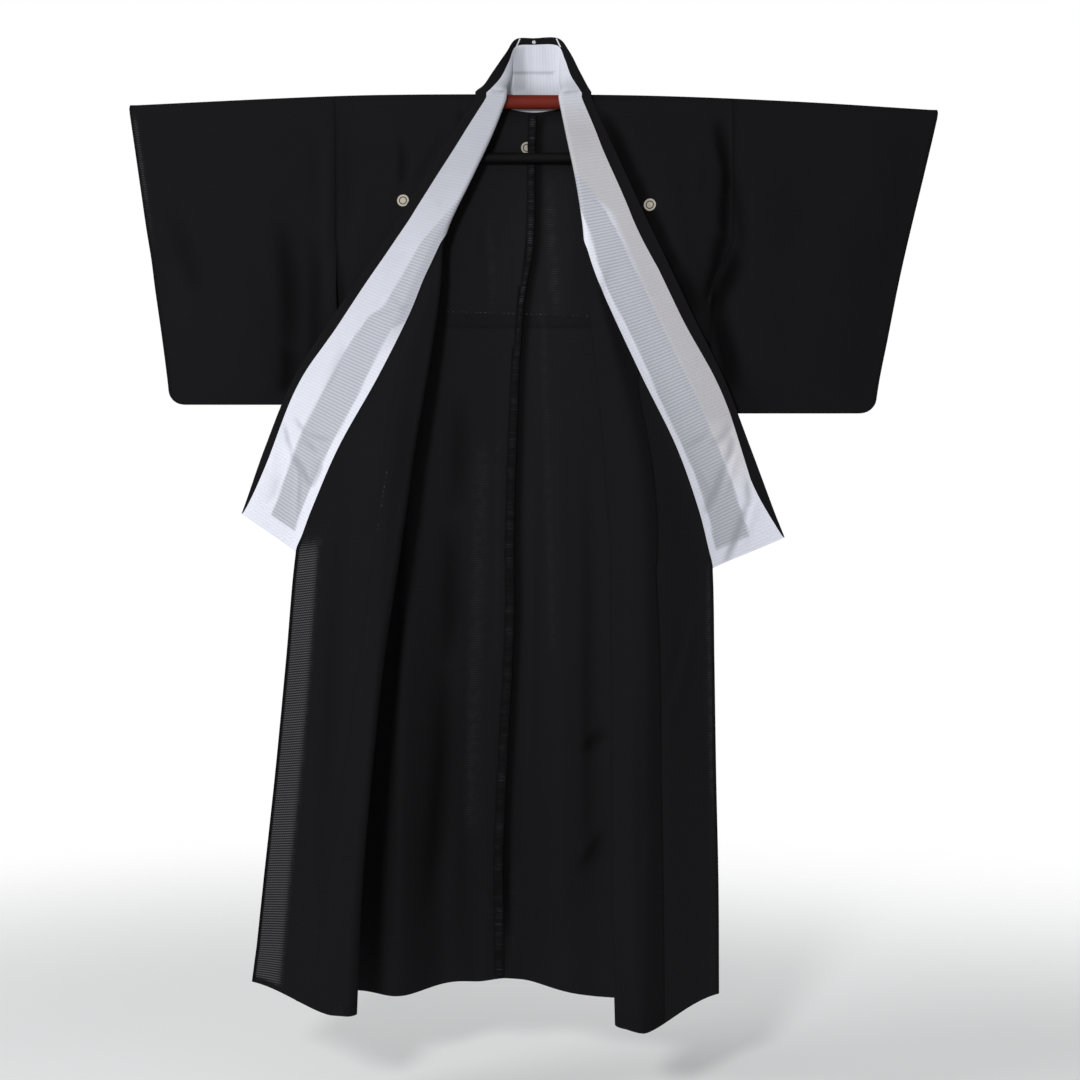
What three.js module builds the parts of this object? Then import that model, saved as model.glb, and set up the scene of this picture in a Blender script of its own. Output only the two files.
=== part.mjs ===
// A black summer mourning kimono, hung by its sleeves on a kimono hanger, with the fronts thrown open.
//
// Frame: millimetres, +Z up, +X to the right of someone who looks at the open fronts, +Y towards the back.
// The origin is the middle of the hanger's bar. "right" and "left" are the wearer's own sides, as a
// tailor names them, so the wearer's right is at -X. Widths in the tables are measured outward from the
// middle and are positive on both sides.

import * as THREE from 'three';

// Driving sizes of the garment
const CLOTH = 1.2; // wall of the black cloths
const THIN_CLOTH = 1; // wall of the lining and the binding
const SEAM_GAP = 0.5; // between two cloths that meet at a seam
const SLEEVE_SEAM = 319; // centre back to sleeve seam
const ARMHOLE = 230; // length of the sleeve seam below the shoulder
const SLIT = 106; // open slit under the arm, below the sleeve seam
const SLEEVE_CORNER = 22; // radius of the sleeve's lower outer corner
const OVERLAP_WIDTH = 150; // full width of the front overlap panel
const COLLAR_END = { right: -725, left: -752 }; // height of the collar's lower ends, at the seam
const COLLAR_MARGIN = 14; // black cloth turned over the lining at the collar's free edge
const HEM = -1433;
const BINDING_WIDTH = 15; // strip that covers the seam of the centre back

// Driving sizes of the hanger
const BAR_RADIUS = 10;
const BAR_HALF = 622;
const LOWER_BAR_RADIUS = 8;
const LOWER_BAR_Y = -1;
const LOWER_BAR_Z = -91;
const LOWER_BAR_HALF = 165;
const LINK_RADIUS = 3;
const LINK_X = 128;
const TOUCH = 0.3; // clearance between a cloth and what it rests on

// The cloth passes over the bar in a flat arch of these half sizes
const ARCH_Z = BAR_RADIUS + TOUCH + CLOTH / 2;
const ARCH_Y = 13;
const ARCH_ANGLES = [28, 58, 80, 100, 122, 152]; // from the front, over the top, to the back

const SIDES = { right: -1, left: 1 };

// Each row of a table becomes an object with the columns' names
function table(columns, rows) {
  const names = columns.split(' ');
  return rows.map((row) => Object.fromEntries(names.map((name, i) => [name, row[i]])));
}

// Smooth reading of a table between its rows, which are in falling or rising order of the key
function reader(rows, key) {
  const sorted = [...rows].sort((a, b) => a[key] - b[key]);
  const names = Object.keys(sorted[0]).filter((name) => name !== key);
  const slope = (name, i) => {
    const low = sorted[Math.max(i - 1, 0)];
    const high = sorted[Math.min(i + 1, sorted.length - 1)];
    return (high[name] - low[name]) / (high[key] - low[key]);
  };
  return (at) => {
    const last = sorted.length - 2;
    const found = sorted.findIndex((row, i) => i > 0 && at <= row[key]);
    const i = Math.min(Math.max(found === -1 ? last : found - 1, 0), last);
    const span = sorted[i + 1][key] - sorted[i][key];
    const t = THREE.MathUtils.clamp((at - sorted[i][key]) / span, 0, 1);
    const out = {};
    for (const name of names) {
      const a = sorted[i][name];
      const b = sorted[i + 1][name];
      const ma = slope(name, i) * span;
      const mb = slope(name, i + 1) * span;
      const t2 = t * t;
      const t3 = t2 * t;
      const low = a * (2 * t3 - 3 * t2 + 1) + ma * (t3 - 2 * t2 + t);
      out[name] = low + b * (3 * t2 - 2 * t3) + mb * (t3 - t2);
    }
    return out;
  };
}

const smooth = (low, high, at) => THREE.MathUtils.smoothstep(at, low, high);
const mix = THREE.MathUtils.lerp;

// The bar sags a little towards both ends, more on the wearer's left
const barDrop = reader(table('x drop', [
  [-640, -17.5], [-400, -6], [-250, -1], [0, 0], [200, -2.5], [420, -11.5], [640, -25],
]), 'x');
const dropAt = (x) => barDrop(x).drop;
const BODY_SAG = -260; // down to this height the body follows the bar's sag less and less
const SLEEVE_SAG = -400; // and the sleeves down to this one

// The fronts, one table a side, a row for each height. At every height the front cloth leaves the side
// seam (side), runs inward past a hidden control point (wave), turns back round a soft roll of radius
// roll at the fold, and runs outward over its crown to the collar seam or front edge (seam), and on to
// the collar's free edge (free). Names that end in Y give the depth of the same point.
const FRONTS = {
  right: reader(table('z side sideY wave waveY fold foldY roll crown crownY seam seamY free freeY', [
    [0, 319, 0, 205, -14, 43, -21, 3.2, 62, -25, 88, -14, 94, -22],
    [-60, 319, 0, 210, -14, 66, -25, 3.4, 96, -28, 101, -16, 133, -24],
    [-130, 319, 0, 220, -15, 100, -28, 3.6, 136, -31, 119, -20, 178, -27],
    [-200, 319, 0, 230, -16, 130, -31, 4, 170, -34, 136, -26, 221, -29],
    [-235, 319, 0, 236, -17, 143, -34, 4.5, 152, -38, 145, -32, 243, -30],
    [-290, 318, 0, 245, -18, 147, -41, 5, 161, -46, 173, -43, 280, -31],
    [-350, 316, 0, 252, -20, 153, -48, 6, 180, -56, 201, -47, 321, -31],
    [-450, 317, 1, 262, -22, 168, -61, 7, 211, -72, 250, -50, 384, -31],
    [-560, 318, 2, 290, -24, 186, -72, 8, 228, -86, 313, -44, 430, -28],
    [-660, 321, 3, 325, -32, 199, -82, 9, 240, -93, 358, -35, 466, -23],
    [-725, 324, 4, 346, -38, 208, -88, 10, 249, -98, 382, -30, 493, -20],
    [-900, 336, 6, 402, -44, 233, -103, 11, 264, -112, 396, -28, 505, -20],
    [-1080, 347, 8, 424, -48, 251, -118, 12, 284, -124, 414, -25, 515, -20],
    [-1260, 356, 9, 432, -52, 265, -134, 13, 306, -136, 434, -23, 530, -20],
    [-1433, 361, 10, 436, -56, 271, -148, 14, 322, -142, 452, -20, 545, -20],
  ]), 'z'),
  left: reader(table('z side sideY wave waveY fold foldY roll crown crownY seam seamY free freeY', [
    [0, 319, 0, 205, -14, 41, -21, 3.2, 60, -25, 88, -14, 92, -22],
    [-60, 319, 0, 210, -14, 51, -25, 3.4, 76, -28, 88, -16, 119, -24],
    [-130, 319, 0, 215, -15, 66, -28, 3.6, 98, -31, 87, -20, 151, -27],
    [-200, 318, 0, 215, -16, 77, -31, 4, 118, -34, 85, -26, 183, -29],
    [-235, 316, 0, 212, -17, 83, -35, 4.5, 92, -39, 85, -33, 200, -30],
    [-290, 293, 0, 205, -18, 86, -44, 5, 97, -49, 106, -45, 226, -32],
    [-350, 284, 0, 200, -20, 89, -53, 6, 114, -63, 131, -52, 254, -33],
    [-450, 286, 1, 196, -24, 98, -70, 7, 136, -84, 173, -54, 303, -34],
    [-560, 276, 0, 192, -30, 108, -88, 8, 160, -112, 229, -48, 346, -30],
    [-660, 268, -2, 208, -36, 114, -106, 9, 170, -134, 266, -36, 384, -24],
    [-725, 264, -3, 224, -38, 118, -118, 10, 172, -145, 283, -28, 409, -20],
    [-900, 262, -6, 262, -40, 119, -128, 11, 172, -152, 289, -22, 420, -20],
    [-1080, 260, -8, 278, -44, 119, -134, 12, 170, -154, 292, -20, 430, -20],
    [-1260, 257, -9, 282, -46, 120, -138, 13, 168, -158, 296, -17, 440, -20],
    [-1433, 255, -10, 284, -48, 125, -140, 14, 166, -163, 297, -15, 450, -20],
  ]), 'z'),
};
const CROSSING = -238; // here the fold passes from the collar into the front
const CROSSING_HALF = 25; // within this height the collar seam goes round the roll
const BEND_IN = 110; // over this height below the crossing the visible run takes on its own crown
const PLAIN_CROWN = 0.32; // above it the crown and the seam lie at these shares of a straight run
const PLAIN_SEAM = 0.64;
const HIDDEN_REACH = 0.3; // how straight the hidden run comes into the fold, as a share of its width
const HIDDEN_STEPS = 40;
const ROLL_STEPS = 12;
const SHOWN_STEPS = 60;
const FOLD_GATHER = 1.7; // columns gather within this many radii of a fold
const COLLAR_GATHER = 1.6;
const OVERLAP_TOP = { right: -384, left: -440 }; // the tip of each overlap panel
const HEM_Z = {
  right: { side: -1433, fold: -1434, crown: -1436, edge: -1415 },
  left: { side: -1442, fold: -1452, crown: -1461, edge: -1435 },
};
const HEM_DIP = { right: 10, left: 16 }; // the back's hem hangs lower by this between centre and side
const HEM_CROWN = 0.22; // share of the way from the fold to the front edge where the hem hangs lowest

// The back: the seam of the centre back drifts to the wearer's right, and its hem is drawn up a little
const BACK = reader(table('z centre depth hang', [
  [0, 0, 13, 0], [-60, -3, 13.5, 0], [-205, -7, 15, 0], [-285, -15, 16, 0], [-342, -20, 17, 0],
  [-480, -26, 19, 0], [-690, -32, 24, 1], [-835, -32, 29, 2], [-1040, -42, 36, 4], [-1220, -50, 42, 7],
  [-1433, -49, 46, 8],
]), 'z');

// Long soft folds that hang in the back, a row each. across runs from -1 at the right side seam to 1 at
// the left one, and depth is at the hem, towards the front where it is positive
const BACK_FOLDS = table('across spread depth from', [
  [-0.86, 0.13, 20, -420],
  [-0.56, 0.14, 44, -250],
  [-0.3, 0.12, -20, -350],
  [-0.12, 0.07, 9, -300],
  [0.13, 0.08, -7, -500],
  [0.36, 0.16, 18, -520],
  [0.68, 0.16, 34, -330],
  [0.9, 0.1, -10, -600],
]);

function backFolds(across, z) {
  let pull = 0;
  for (const fold of BACK_FOLDS) {
    const grown = smooth(0, 1, THREE.MathUtils.clamp((fold.from - z) / (fold.from - HEM), 0, 1));
    pull += fold.depth * grown * Math.exp(-(((across - fold.across) / fold.spread) ** 2));
  }
  return pull;
}

// Half the room between the front and back cloth at the side: open at the armhole and slit, then sewn
function sideRoom(z) {
  return mix(1, ARCH_Y, smooth(-ARMHOLE - SLIT, -ARMHOLE, z));
}

const flat = (x, y) => new THREE.Vector2(x, y);

// A smooth curve through points in plan
function shownRun(points) {
  const way = points.map((p) => new THREE.Vector3(p.x, p.y, 0));
  return new THREE.CatmullRomCurve3(way, false, 'centripetal').getPoints(SHOWN_STEPS);
}

// One height of a front, as a dense line in plan with its length, and where the fold, the collar seam
// and the outer edge lie along it
function frontLine(side, z) {
  const at = FRONTS[side](z);
  const start = flat(at.side, at.sideY - sideRoom(z));
  const into = flat(at.fold + at.roll, at.foldY + at.roll);
  const out = flat(at.fold + at.roll, at.foldY - at.roll);
  const reach = flat(into.x + (start.x - into.x) * HIDDEN_REACH, into.y);
  const hidden = new THREE.CubicBezierCurve(start, flat(at.wave, at.waveY), reach, into);
  const points = hidden.getPoints(HIDDEN_STEPS);
  for (let i = 1; i < ROLL_STEPS; i += 1) {
    const turn = Math.PI / 2 + (i * Math.PI) / ROLL_STEPS;
    points.push(flat(at.fold + at.roll + at.roll * Math.cos(turn), at.foldY + at.roll * Math.sin(turn)));
  }
  const apexIndex = HIDDEN_STEPS + ROLL_STEPS / 2;
  // above the crossing the visible run belongs to the collar alone, and no seam bends it
  const collared = z >= COLLAR_END[side] - 1;
  const end = flat(at.free, at.freeY);
  const seamShows = smooth(0, 1, THREE.MathUtils.clamp((CROSSING - z) / BEND_IN, 0, 1));
  const crown = out.clone().lerp(end, PLAIN_CROWN).lerp(flat(at.crown, at.crownY), seamShows);
  const middle = out.clone().lerp(end, PLAIN_SEAM).lerp(flat(at.seam, at.seamY), seamShows);
  for (const p of shownRun([out, crown, middle, end])) points.push(flat(p.x, p.y));
  if (!collared) {
    // below the collar the cloth ends at the front edge
    const past = points.findIndex((p, i) => i > apexIndex && p.x > at.seam);
    points.length = past;
    points.push(flat(at.seam, at.seamY));
  }

  const lengths = [0];
  for (let i = 1; i < points.length; i += 1) {
    lengths.push(lengths[i - 1] + points[i].distanceTo(points[i - 1]));
  }
  const total = lengths.at(-1);
  const crosses = (from, to) => {
    for (let i = from; i < to; i += 1) {
      const a = points[i].x - at.seam;
      const b = points[i + 1].x - at.seam;
      if (a * b <= 0 && a !== b) return mix(lengths[i], lengths[i + 1], a / (a - b));
    }
    return null;
  };
  const apex = lengths[apexIndex];
  const found = z > CROSSING ? crosses(0, apexIndex) : crosses(apexIndex, points.length - 1);
  let seam = collared ? found ?? apex : total;
  if (Math.abs(z - CROSSING) < CROSSING_HALF) {
    const [high, low] = [1, -1].map((way) => frontLine(side, CROSSING + way * CROSSING_HALF));
    const share = (CROSSING + CROSSING_HALF - z) / (2 * CROSSING_HALF);
    seam = apex + mix(high.seam - high.apex, low.seam - low.apex, share);
  }
  return { points, lengths, apex, seam, total, z };
}

function alongLine(line, distance) {
  const { points, lengths } = line;
  const d = THREE.MathUtils.clamp(distance, 0, line.total);
  let i = lengths.findIndex((length) => length >= d);
  i = Math.max(i, 1);
  const t = (d - lengths[i - 1]) / Math.max(lengths[i] - lengths[i - 1], 1e-9);
  return points[i - 1].clone().lerp(points[i], t);
}

const place = (side, p, z) => {
  const x = SIDES[side] * p.x;
  return new THREE.Vector3(x, p.y, z + dropAt(x) * smooth(BODY_SAG, 0, z));
};

// Width of the overlap panel at a height: it widens from its tip down to the collar's end
const OVERLAP_FLARE = 0.8;
const OVERLAP_TIP = 4; // the panel's first row lies at least this far below its tip

function overlapWidth(side, z) {
  const top = OVERLAP_TOP[side];
  const share = THREE.MathUtils.clamp((top - z) / (top - COLLAR_END[side]), 0, 1);
  return OVERLAP_WIDTH * share ** OVERLAP_FLARE;
}

function hemHeight(side, line, distance) {
  const { side: atSide, fold, crown, edge } = HEM_Z[side];
  if (distance < line.apex) return mix(atSide, fold, distance / line.apex);
  const share = (distance - line.apex) / (line.total - line.apex);
  return share < HEM_CROWN
    ? mix(fold, crown, share / HEM_CROWN)
    : mix(crown, edge, (share - HEM_CROWN) / (1 - HEM_CROWN));
}

// The lines of both fronts at the heights of the rows, which the panels and the collar share
const COLLAR_ROWS = [
  -680, -625, -565, -505, -445, -390, -345, -310, -280, -262, -250, -238, -226, -206, -165, -110, -55, 0,
];
const SKIRT_ROWS = [HEM, -1355, -1260, -1165, -1070, -975, -890, -825];
const BACK_ROWS = [
  -55, -130, -215, -300, -375, -460, -550, -640, -735, -830, -925, -1020, -1115, -1210, -1305, -1370, HEM,
];
const LINES = {};
for (const [side, end] of Object.entries(COLLAR_END)) {
  LINES[side] = [...SKIRT_ROWS, end - 25, end, ...COLLAR_ROWS].map((z) => frontLine(side, z));
}

const frontHeight = (side, line, distance) => (
  line.z === HEM ? hemHeight(side, line, distance) : line.z
);

// Places from start to end that gather where the cloth rolls over, within spread of the given place
function gathered(start, end, place, spread, count) {
  const crowding = 5;
  const parts = 240;
  const sums = [0];
  for (let i = 0; i < parts; i += 1) {
    const at = mix(start, end, (i + 0.5) / parts);
    sums.push(sums[i] + 1 + crowding * Math.exp(-(((at - place) / spread) ** 2)));
  }
  return Array.from({ length: count }, (_, k) => {
    const want = (sums[parts] * k) / (count - 1);
    let i = 1;
    while (i < parts && sums[i] < want) i += 1;
    return mix(start, end, (i - 1 + (want - sums[i - 1]) / (sums[i] - sums[i - 1])) / parts);
  });
}

function frontDistances(side, line, count) {
  const end = line.seam - overlapWidth(side, line.z) - SEAM_GAP / 2;
  return gathered(0, end, line.apex, FRONTS[side](line.z).roll * FOLD_GATHER, count);
}

// Inner edge of a body panel on the shoulder and round the back of the neck
const NECK = reader(table('turn x y z', [
  [0, 88, -13, 0], [28, 88, -11.5, 5.1], [60, 88, -6.5, 9.5], [90, 88, 0, ARCH_Z], [120, 87, 6.5, 9.5],
  [152, 80, 11.5, 5.1], [180, 66, 13, 0], [186, 50, 13.1, -6], [192, 29, 13.3, -12], [198, 0, 13.5, -17],
]), 'turn');
const NECK_TURNS = [186, 192, 198];

// A point of the back panel. across is 0 at the centre seam and 1 at the side
function backPoint(side, across, z) {
  const at = FRONTS[side](z);
  const mid = BACK(z);
  const inner = SIDES[side] * mid.centre + SEAM_GAP / 2;
  const x = SIDES[side] * mix(inner, at.side, across);
  const edge = across ** 3;
  const folds = backFolds(SIDES[side] * across, z) * (1 - edge ** 2);
  const y = mix(mid.depth, at.sideY + sideRoom(z), edge) - folds;
  const dip = HEM_DIP[side] * Math.sin(across * Math.PI) ** 2;
  const raise = z === HEM ? mix(mid.hang, 0, Math.min(across * 2, 1)) - dip : 0;
  return new THREE.Vector3(x, y, z + raise + dropAt(x) * smooth(BODY_SAG, 0, z));
}

const BODY_COLUMNS = 15;

// A body panel is one length of cloth: front hem, over the shoulder, back hem. Each row runs from the
// side to the front edge, or from the side to the centre of the back
function bodyGrid(side) {
  const grid = LINES[side].map((line) => frontDistances(side, line, BODY_COLUMNS)
    .map((d) => place(side, alongLine(line, d), frontHeight(side, line, d))));
  const share = (i) => i / (BODY_COLUMNS - 1);
  for (const angle of ARCH_ANGLES) {
    const turn = THREE.MathUtils.degToRad(angle);
    const neck = NECK(angle);
    grid.push(Array.from({ length: BODY_COLUMNS }, (_, i) => {
      const x = SIDES[side] * mix(SLEEVE_SEAM, neck.x, share(i));
      return new THREE.Vector3(x, -ARCH_Y * Math.cos(turn), ARCH_Z * Math.sin(turn) + dropAt(x));
    }));
  }
  for (const angle of [180, ...NECK_TURNS]) {
    const neck = NECK(angle);
    grid.push(Array.from({ length: BODY_COLUMNS }, (_, i) => {
      const x = SIDES[side] * mix(SLEEVE_SEAM, neck.x + SEAM_GAP / 2, share(i));
      return new THREE.Vector3(x, mix(ARCH_Y, neck.y, share(i)), neck.z + dropAt(x));
    }));
  }
  for (const z of BACK_ROWS) {
    grid.push(Array.from({ length: BODY_COLUMNS }, (_, i) => backPoint(side, 1 - share(i), z)));
  }
  return grid;
}

function overlapGrid(side) {
  const columns = 6;
  return LINES[side].filter((line) => line.z < OVERLAP_TOP[side] - OVERLAP_TIP).map((line) => {
    const width = overlapWidth(side, line.z);
    const start = line.seam - width + SEAM_GAP / 2;
    const end = line.seam - (line.z >= COLLAR_END[side] ? SEAM_GAP / 2 : 0);
    return Array.from({ length: columns }, (_, i) => {
      const d = mix(start, end, i / (columns - 1));
      return place(side, alongLine(line, d), frontHeight(side, line, d));
    });
  });
}

// How much higher the collar's free edge is than its seam, straight across the band
const collarRise = reader(table('z right left', [
  [-752, 60, 49], [-725, 60, 50], [-560, 55, 50], [-450, 50, 47], [-318, 36, 36], [-235, 25, 25],
  [-130, 16, 16], [0, 10, 10],
]), 'z');

// The collar round the back of the neck: five points across it at each place, from the seam to the free
// edge. It stands at the back, and on the shoulders it rolls outward and doubles over
const NECK_COLLAR = {
  right: table('name points', [
    ['front of the shoulder', [[88, -10, 11.5], [54, -17, 11], [44, -22, 11.5], [50, -28, 13], [81, -21, 21]]],
    ['top of the shoulder', [[86, 3, 13.5], [56, -5, 15], [46, -8, 19], [45, -13, 27], [67, -12, 44]]],
    ['back of the shoulder', [[74, 12.5, 6], [50, 12, 17], [42, 12, 30], [38, 8, 50], [45, 7, 81]]],
    ['corner of the back', [[52, 14.5, -4], [42, 17, 20], [37, 19, 42], [33, 20.5, 68], [29, 21, 106.5]]],
  ]),
  left: table('name points', [
    ['front of the shoulder', [[88, -10, 11], [54, -17, 10], [43, -22, 10], [49, -28, 12], [87, -21, 18]]],
    ['top of the shoulder', [[86, 3, 13], [56, -5, 15], [45, -8, 19], [46, -13, 27], [74, -12, 45]]],
    ['back of the shoulder', [[74, 12.5, 6], [52, 12, 17], [43, 12, 30], [43, 8, 50], [57, 7, 83]]],
    ['corner of the back', [[52, 14.5, -4], [46, 17, 20], [42, 19, 42], [40, 20.5, 68], [39.5, 21, 107.5]]],
  ]),
};
const BACK_OF_NECK = [[0, 14.2, -16.6], [0, 18, 14], [0, 20.5, 43], [0, 22, 75], [0, 24, 108.5]];
const COLLAR_COLUMNS = 12;
const LINING_SET_IN = 0.04; // the lining's ends, as a share of the last step of the collar's rows
const COLLAR_SEAM_GAP = 1; // at the roll the collar starts this far past the end of the front's cloth
const MARGIN_AT_END = 0.02; // the margin's share of the collar's width at the lower ends
const MARGIN_GROWS = 190; // over this height it takes on its full width
const NECK_ROLL = { place: 0.5, spread: 0.08 }; // where the collar rolls over round the neck

// Shares of the collar's width for its columns. The last but one is the edge of the lining
function collarShares(roll, spread, margin) {
  return [...gathered(0, 1 - margin, roll, spread, COLLAR_COLUMNS - 1), 1];
}

// A row of the collar through points in space, for the neck
function neckRow(points) {
  const way = points.map((p) => new THREE.Vector3(...p));
  const curve = new THREE.CatmullRomCurve3(way, false, 'centripetal');
  curve.arcLengthDivisions = 200;
  const margin = COLLAR_MARGIN / curve.getLength();
  return collarShares(NECK_ROLL.place, NECK_ROLL.spread, margin).map((share) => curve.getPointAt(share));
}

function collarFrontRow(side, z) {
  const rise = collarRise(z)[side];
  const bandOf = (line) => line.total - line.seam;
  const lineAt = (share) => frontLine(side, Math.min(z + rise * share, 0));
  // the roll's place depends on the height there, which depends on the place, so a few rounds find it
  let roll = 0;
  for (let i = 0; i < 5; i += 1) {
    const line = lineAt(Math.max(roll, 0));
    roll = (line.apex - line.seam) / bandOf(line);
  }
  const seamLine = lineAt(0);
  const grown = smooth(COLLAR_END[side], COLLAR_END[side] + MARGIN_GROWS, z);
  const margin = mix(MARGIN_AT_END, COLLAR_MARGIN / bandOf(seamLine), grown);
  const spread = (FRONTS[side](z).roll * COLLAR_GATHER) / bandOf(seamLine);
  return collarShares(roll, spread, margin).map((share) => {
    const line = lineAt(share);
    const distance = mix(line.seam + COLLAR_SEAM_GAP, line.total, share);
    const p = place(side, alongLine(line, distance), line.z);
    p.z += Math.max(z + rise * share, 0);
    return p;
  });
}

// Rows of the whole collar, from the lower end on the wearer's right, round the neck, to the left end
function collarGrid() {
  const half = (side) => {
    const key = [COLLAR_END[side], ...COLLAR_ROWS].map((z) => collarFrontRow(side, z));
    for (const row of NECK_COLLAR[side]) {
      key.push(neckRow(row.points.map(([x, y, z]) => [SIDES[side] * x, y, z])));
    }
    return key;
  };
  const middle = neckRow(BACK_OF_NECK);
  const rows = [...half('right'), middle, ...half('left').reverse()];
  // extra rows round the neck, on a smooth curve through the rows that are there
  const first = COLLAR_ROWS.length;
  const last = rows.length - 1 - first;
  const curves = middle.map((_, i) => (
    new THREE.CatmullRomCurve3(rows.slice(first - 1, last + 2).map((row) => row[i]), false, 'centripetal')
  ));
  const spans = last - first + 2;
  const refined = [];
  for (let k = 0; k <= (last - first) * 2; k += 1) {
    const t = (1 + k / 2) / spans;
    refined.push(curves.map((curve) => curve.getPoint(t)));
  }
  return [...rows.slice(0, first), ...refined, ...rows.slice(last + 1)];
}

// Normals of a grid of points, from its neighbours along and across
function gridNormals(grid, ring) {
  const rows = grid.length;
  const columns = grid[0].length;
  return grid.map((row, r) => row.map((_, c) => {
    const up = grid[Math.min(r + 1, rows - 1)][c];
    const down = grid[Math.max(r - 1, 0)][c];
    const next = ring ? row[(c + 1) % columns] : row[Math.min(c + 1, columns - 1)];
    const before = ring ? row[(c + columns - 1) % columns] : row[Math.max(c - 1, 0)];
    const along = up.clone().sub(down);
    const across = next.clone().sub(before);
    return across.cross(along).normalize();
  }));
}

// The same grid, moved along its normals
function moved(grid, distance, ring = false) {
  const normals = gridNormals(grid, ring);
  return grid.map((row, r) => row.map((p, c) => p.clone().addScaledVector(normals[r][c], distance)));
}

// A closed wall of even thickness on both sides of a grid of points. A ring joins its last column to
// its first
function wall(grid, thickness = CLOTH, ring = false) {
  const faces = [moved(grid, thickness / 2, ring), moved(grid, -thickness / 2, ring)];
  const rows = grid.length;
  const columns = grid[0].length;
  const positions = faces.flatMap((face) => face.flatMap((row) => row.flatMap((p) => p.toArray())));
  const at = (face, r, c) => face * rows * columns + r * columns + (c % columns);
  const indices = [];
  const quad = (a, b, c, d) => indices.push(a, b, c, a, c, d);
  const spans = ring ? columns : columns - 1;
  for (let r = 0; r < rows - 1; r += 1) {
    for (let c = 0; c < spans; c += 1) {
      quad(at(0, r, c), at(0, r, c + 1), at(0, r + 1, c + 1), at(0, r + 1, c));
      quad(at(1, r, c), at(1, r + 1, c), at(1, r + 1, c + 1), at(1, r, c + 1));
    }
    if (!ring) {
      quad(at(0, r, 0), at(0, r + 1, 0), at(1, r + 1, 0), at(1, r, 0));
      quad(at(0, r, spans), at(1, r, spans), at(1, r + 1, spans), at(0, r + 1, spans));
    }
  }
  for (let c = 0; c < spans; c += 1) {
    quad(at(0, 0, c), at(1, 0, c), at(1, 0, c + 1), at(0, 0, c + 1));
    quad(at(0, rows - 1, c), at(0, rows - 1, c + 1), at(1, rows - 1, c + 1), at(1, rows - 1, c));
  }
  const geometry = new THREE.BufferGeometry();
  geometry.setAttribute('position', new THREE.Float32BufferAttribute(positions, 3));
  geometry.setIndex(indices);
  if (volumeOf(geometry) < 0) {
    for (let i = 0; i < indices.length; i += 3) {
      [indices[i + 1], indices[i + 2]] = [indices[i + 2], indices[i + 1]];
    }
    geometry.setIndex(indices);
  }
  geometry.computeVertexNormals();
  return geometry;
}

function volumeOf(geometry) {
  const { position } = geometry.attributes;
  const [a, b, c] = [new THREE.Vector3(), new THREE.Vector3(), new THREE.Vector3()];
  let sum = 0;
  for (let i = 0; i < geometry.index.count; i += 3) {
    a.fromBufferAttribute(position, geometry.index.getX(i));
    b.fromBufferAttribute(position, geometry.index.getX(i + 1));
    c.fromBufferAttribute(position, geometry.index.getX(i + 2));
    sum += a.dot(b.cross(c));
  }
  return sum / 6;
}

// The sleeves by height: how far the inner edge stands off the body, the outer edge, and half the room
// between the two layers, inside and at the outer edge, which is open for the hand in its upper half
const SLEEVES = {
  right: reader(table('z inner outer room cuff', [
    [0, 0, 650, 13, 13], [-60, 0, 642, 14, 10], [-130, 0, 633, 15, 7], [-200, 0, 624, 15, 4.5],
    [-250, 2, 617, 15, 1], [-300, 4, 611, 14, 1], [-380, 5, 600, 12, 1], [-450, 5, 591, 8, 1],
    [-490, 5, 587, 2, 1],
  ]), 'z'),
  left: reader(table('z inner outer room cuff', [
    [0, 0, 649, 13, 13], [-60, 0, 636, 14, 10], [-130, 0, 621, 15, 7], [-200, 0, 606, 15, 4.5],
    [-250, 1, 596, 15, 1], [-300, 2, 586, 14, 1], [-380, 3, 571, 12, 1], [-450, 8, 557, 8, 1],
    [-504, 20, 549, 2, 1],
  ]), 'z'),
};
const SLEEVE_BOTTOM = { right: -489, left: -503 };
const SLEEVE_SHARES = [0, 0.08, 0.2, 0.34, 0.48, 0.62, 0.76, 0.88, 0.955, 0.985, 1];
const SLEEVE_HEIGHTS = [0, -55, -120, -195, -234, -280, -345, -390, -440];
const SLIT_COVER = 9; // below the seam the sleeve's back reaches this far in behind the body
const SLEEVE_FREE = -345; // below this height the inner edge follows the side seam no longer
const CUFF_FROM = 0.72; // from this share of the width outward the sleeve closes towards the cuff
const CORNER_FROM = 0.86; // and from this one its lower corner is rounded
const BACK_PULL = 0.5; // the folds' depth in the sleeve's back, as a share of that in its front

// Soft folds of the sleeves: a line in the picture plane from (x, z) to (toX, toZ), and its depth
const SLEEVE_FOLDS = table('side x z toX toZ spread depth', [
  ['right', 398, -205, 392, -470, 26, 5],
  ['right', 588, -165, 545, -310, 22, -4],
  ['left', 402, -60, 420, -300, 40, -4],
  ['left', 470, -200, 440, -470, 36, 4],
]);

function sleeveFolds(side, x, z) {
  let pull = 0;
  for (const fold of SLEEVE_FOLDS) {
    if (fold.side !== side) continue;
    const from = new THREE.Vector3(fold.x, 0, fold.z);
    const run = new THREE.Line3(from, new THREE.Vector3(fold.toX, 0, fold.toZ));
    const here = new THREE.Vector3(x, 0, z);
    const away = run.closestPointToPoint(here, true, new THREE.Vector3()).distanceTo(here);
    pull += fold.depth * Math.exp(-((away / fold.spread) ** 2));
  }
  return pull;
}

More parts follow.
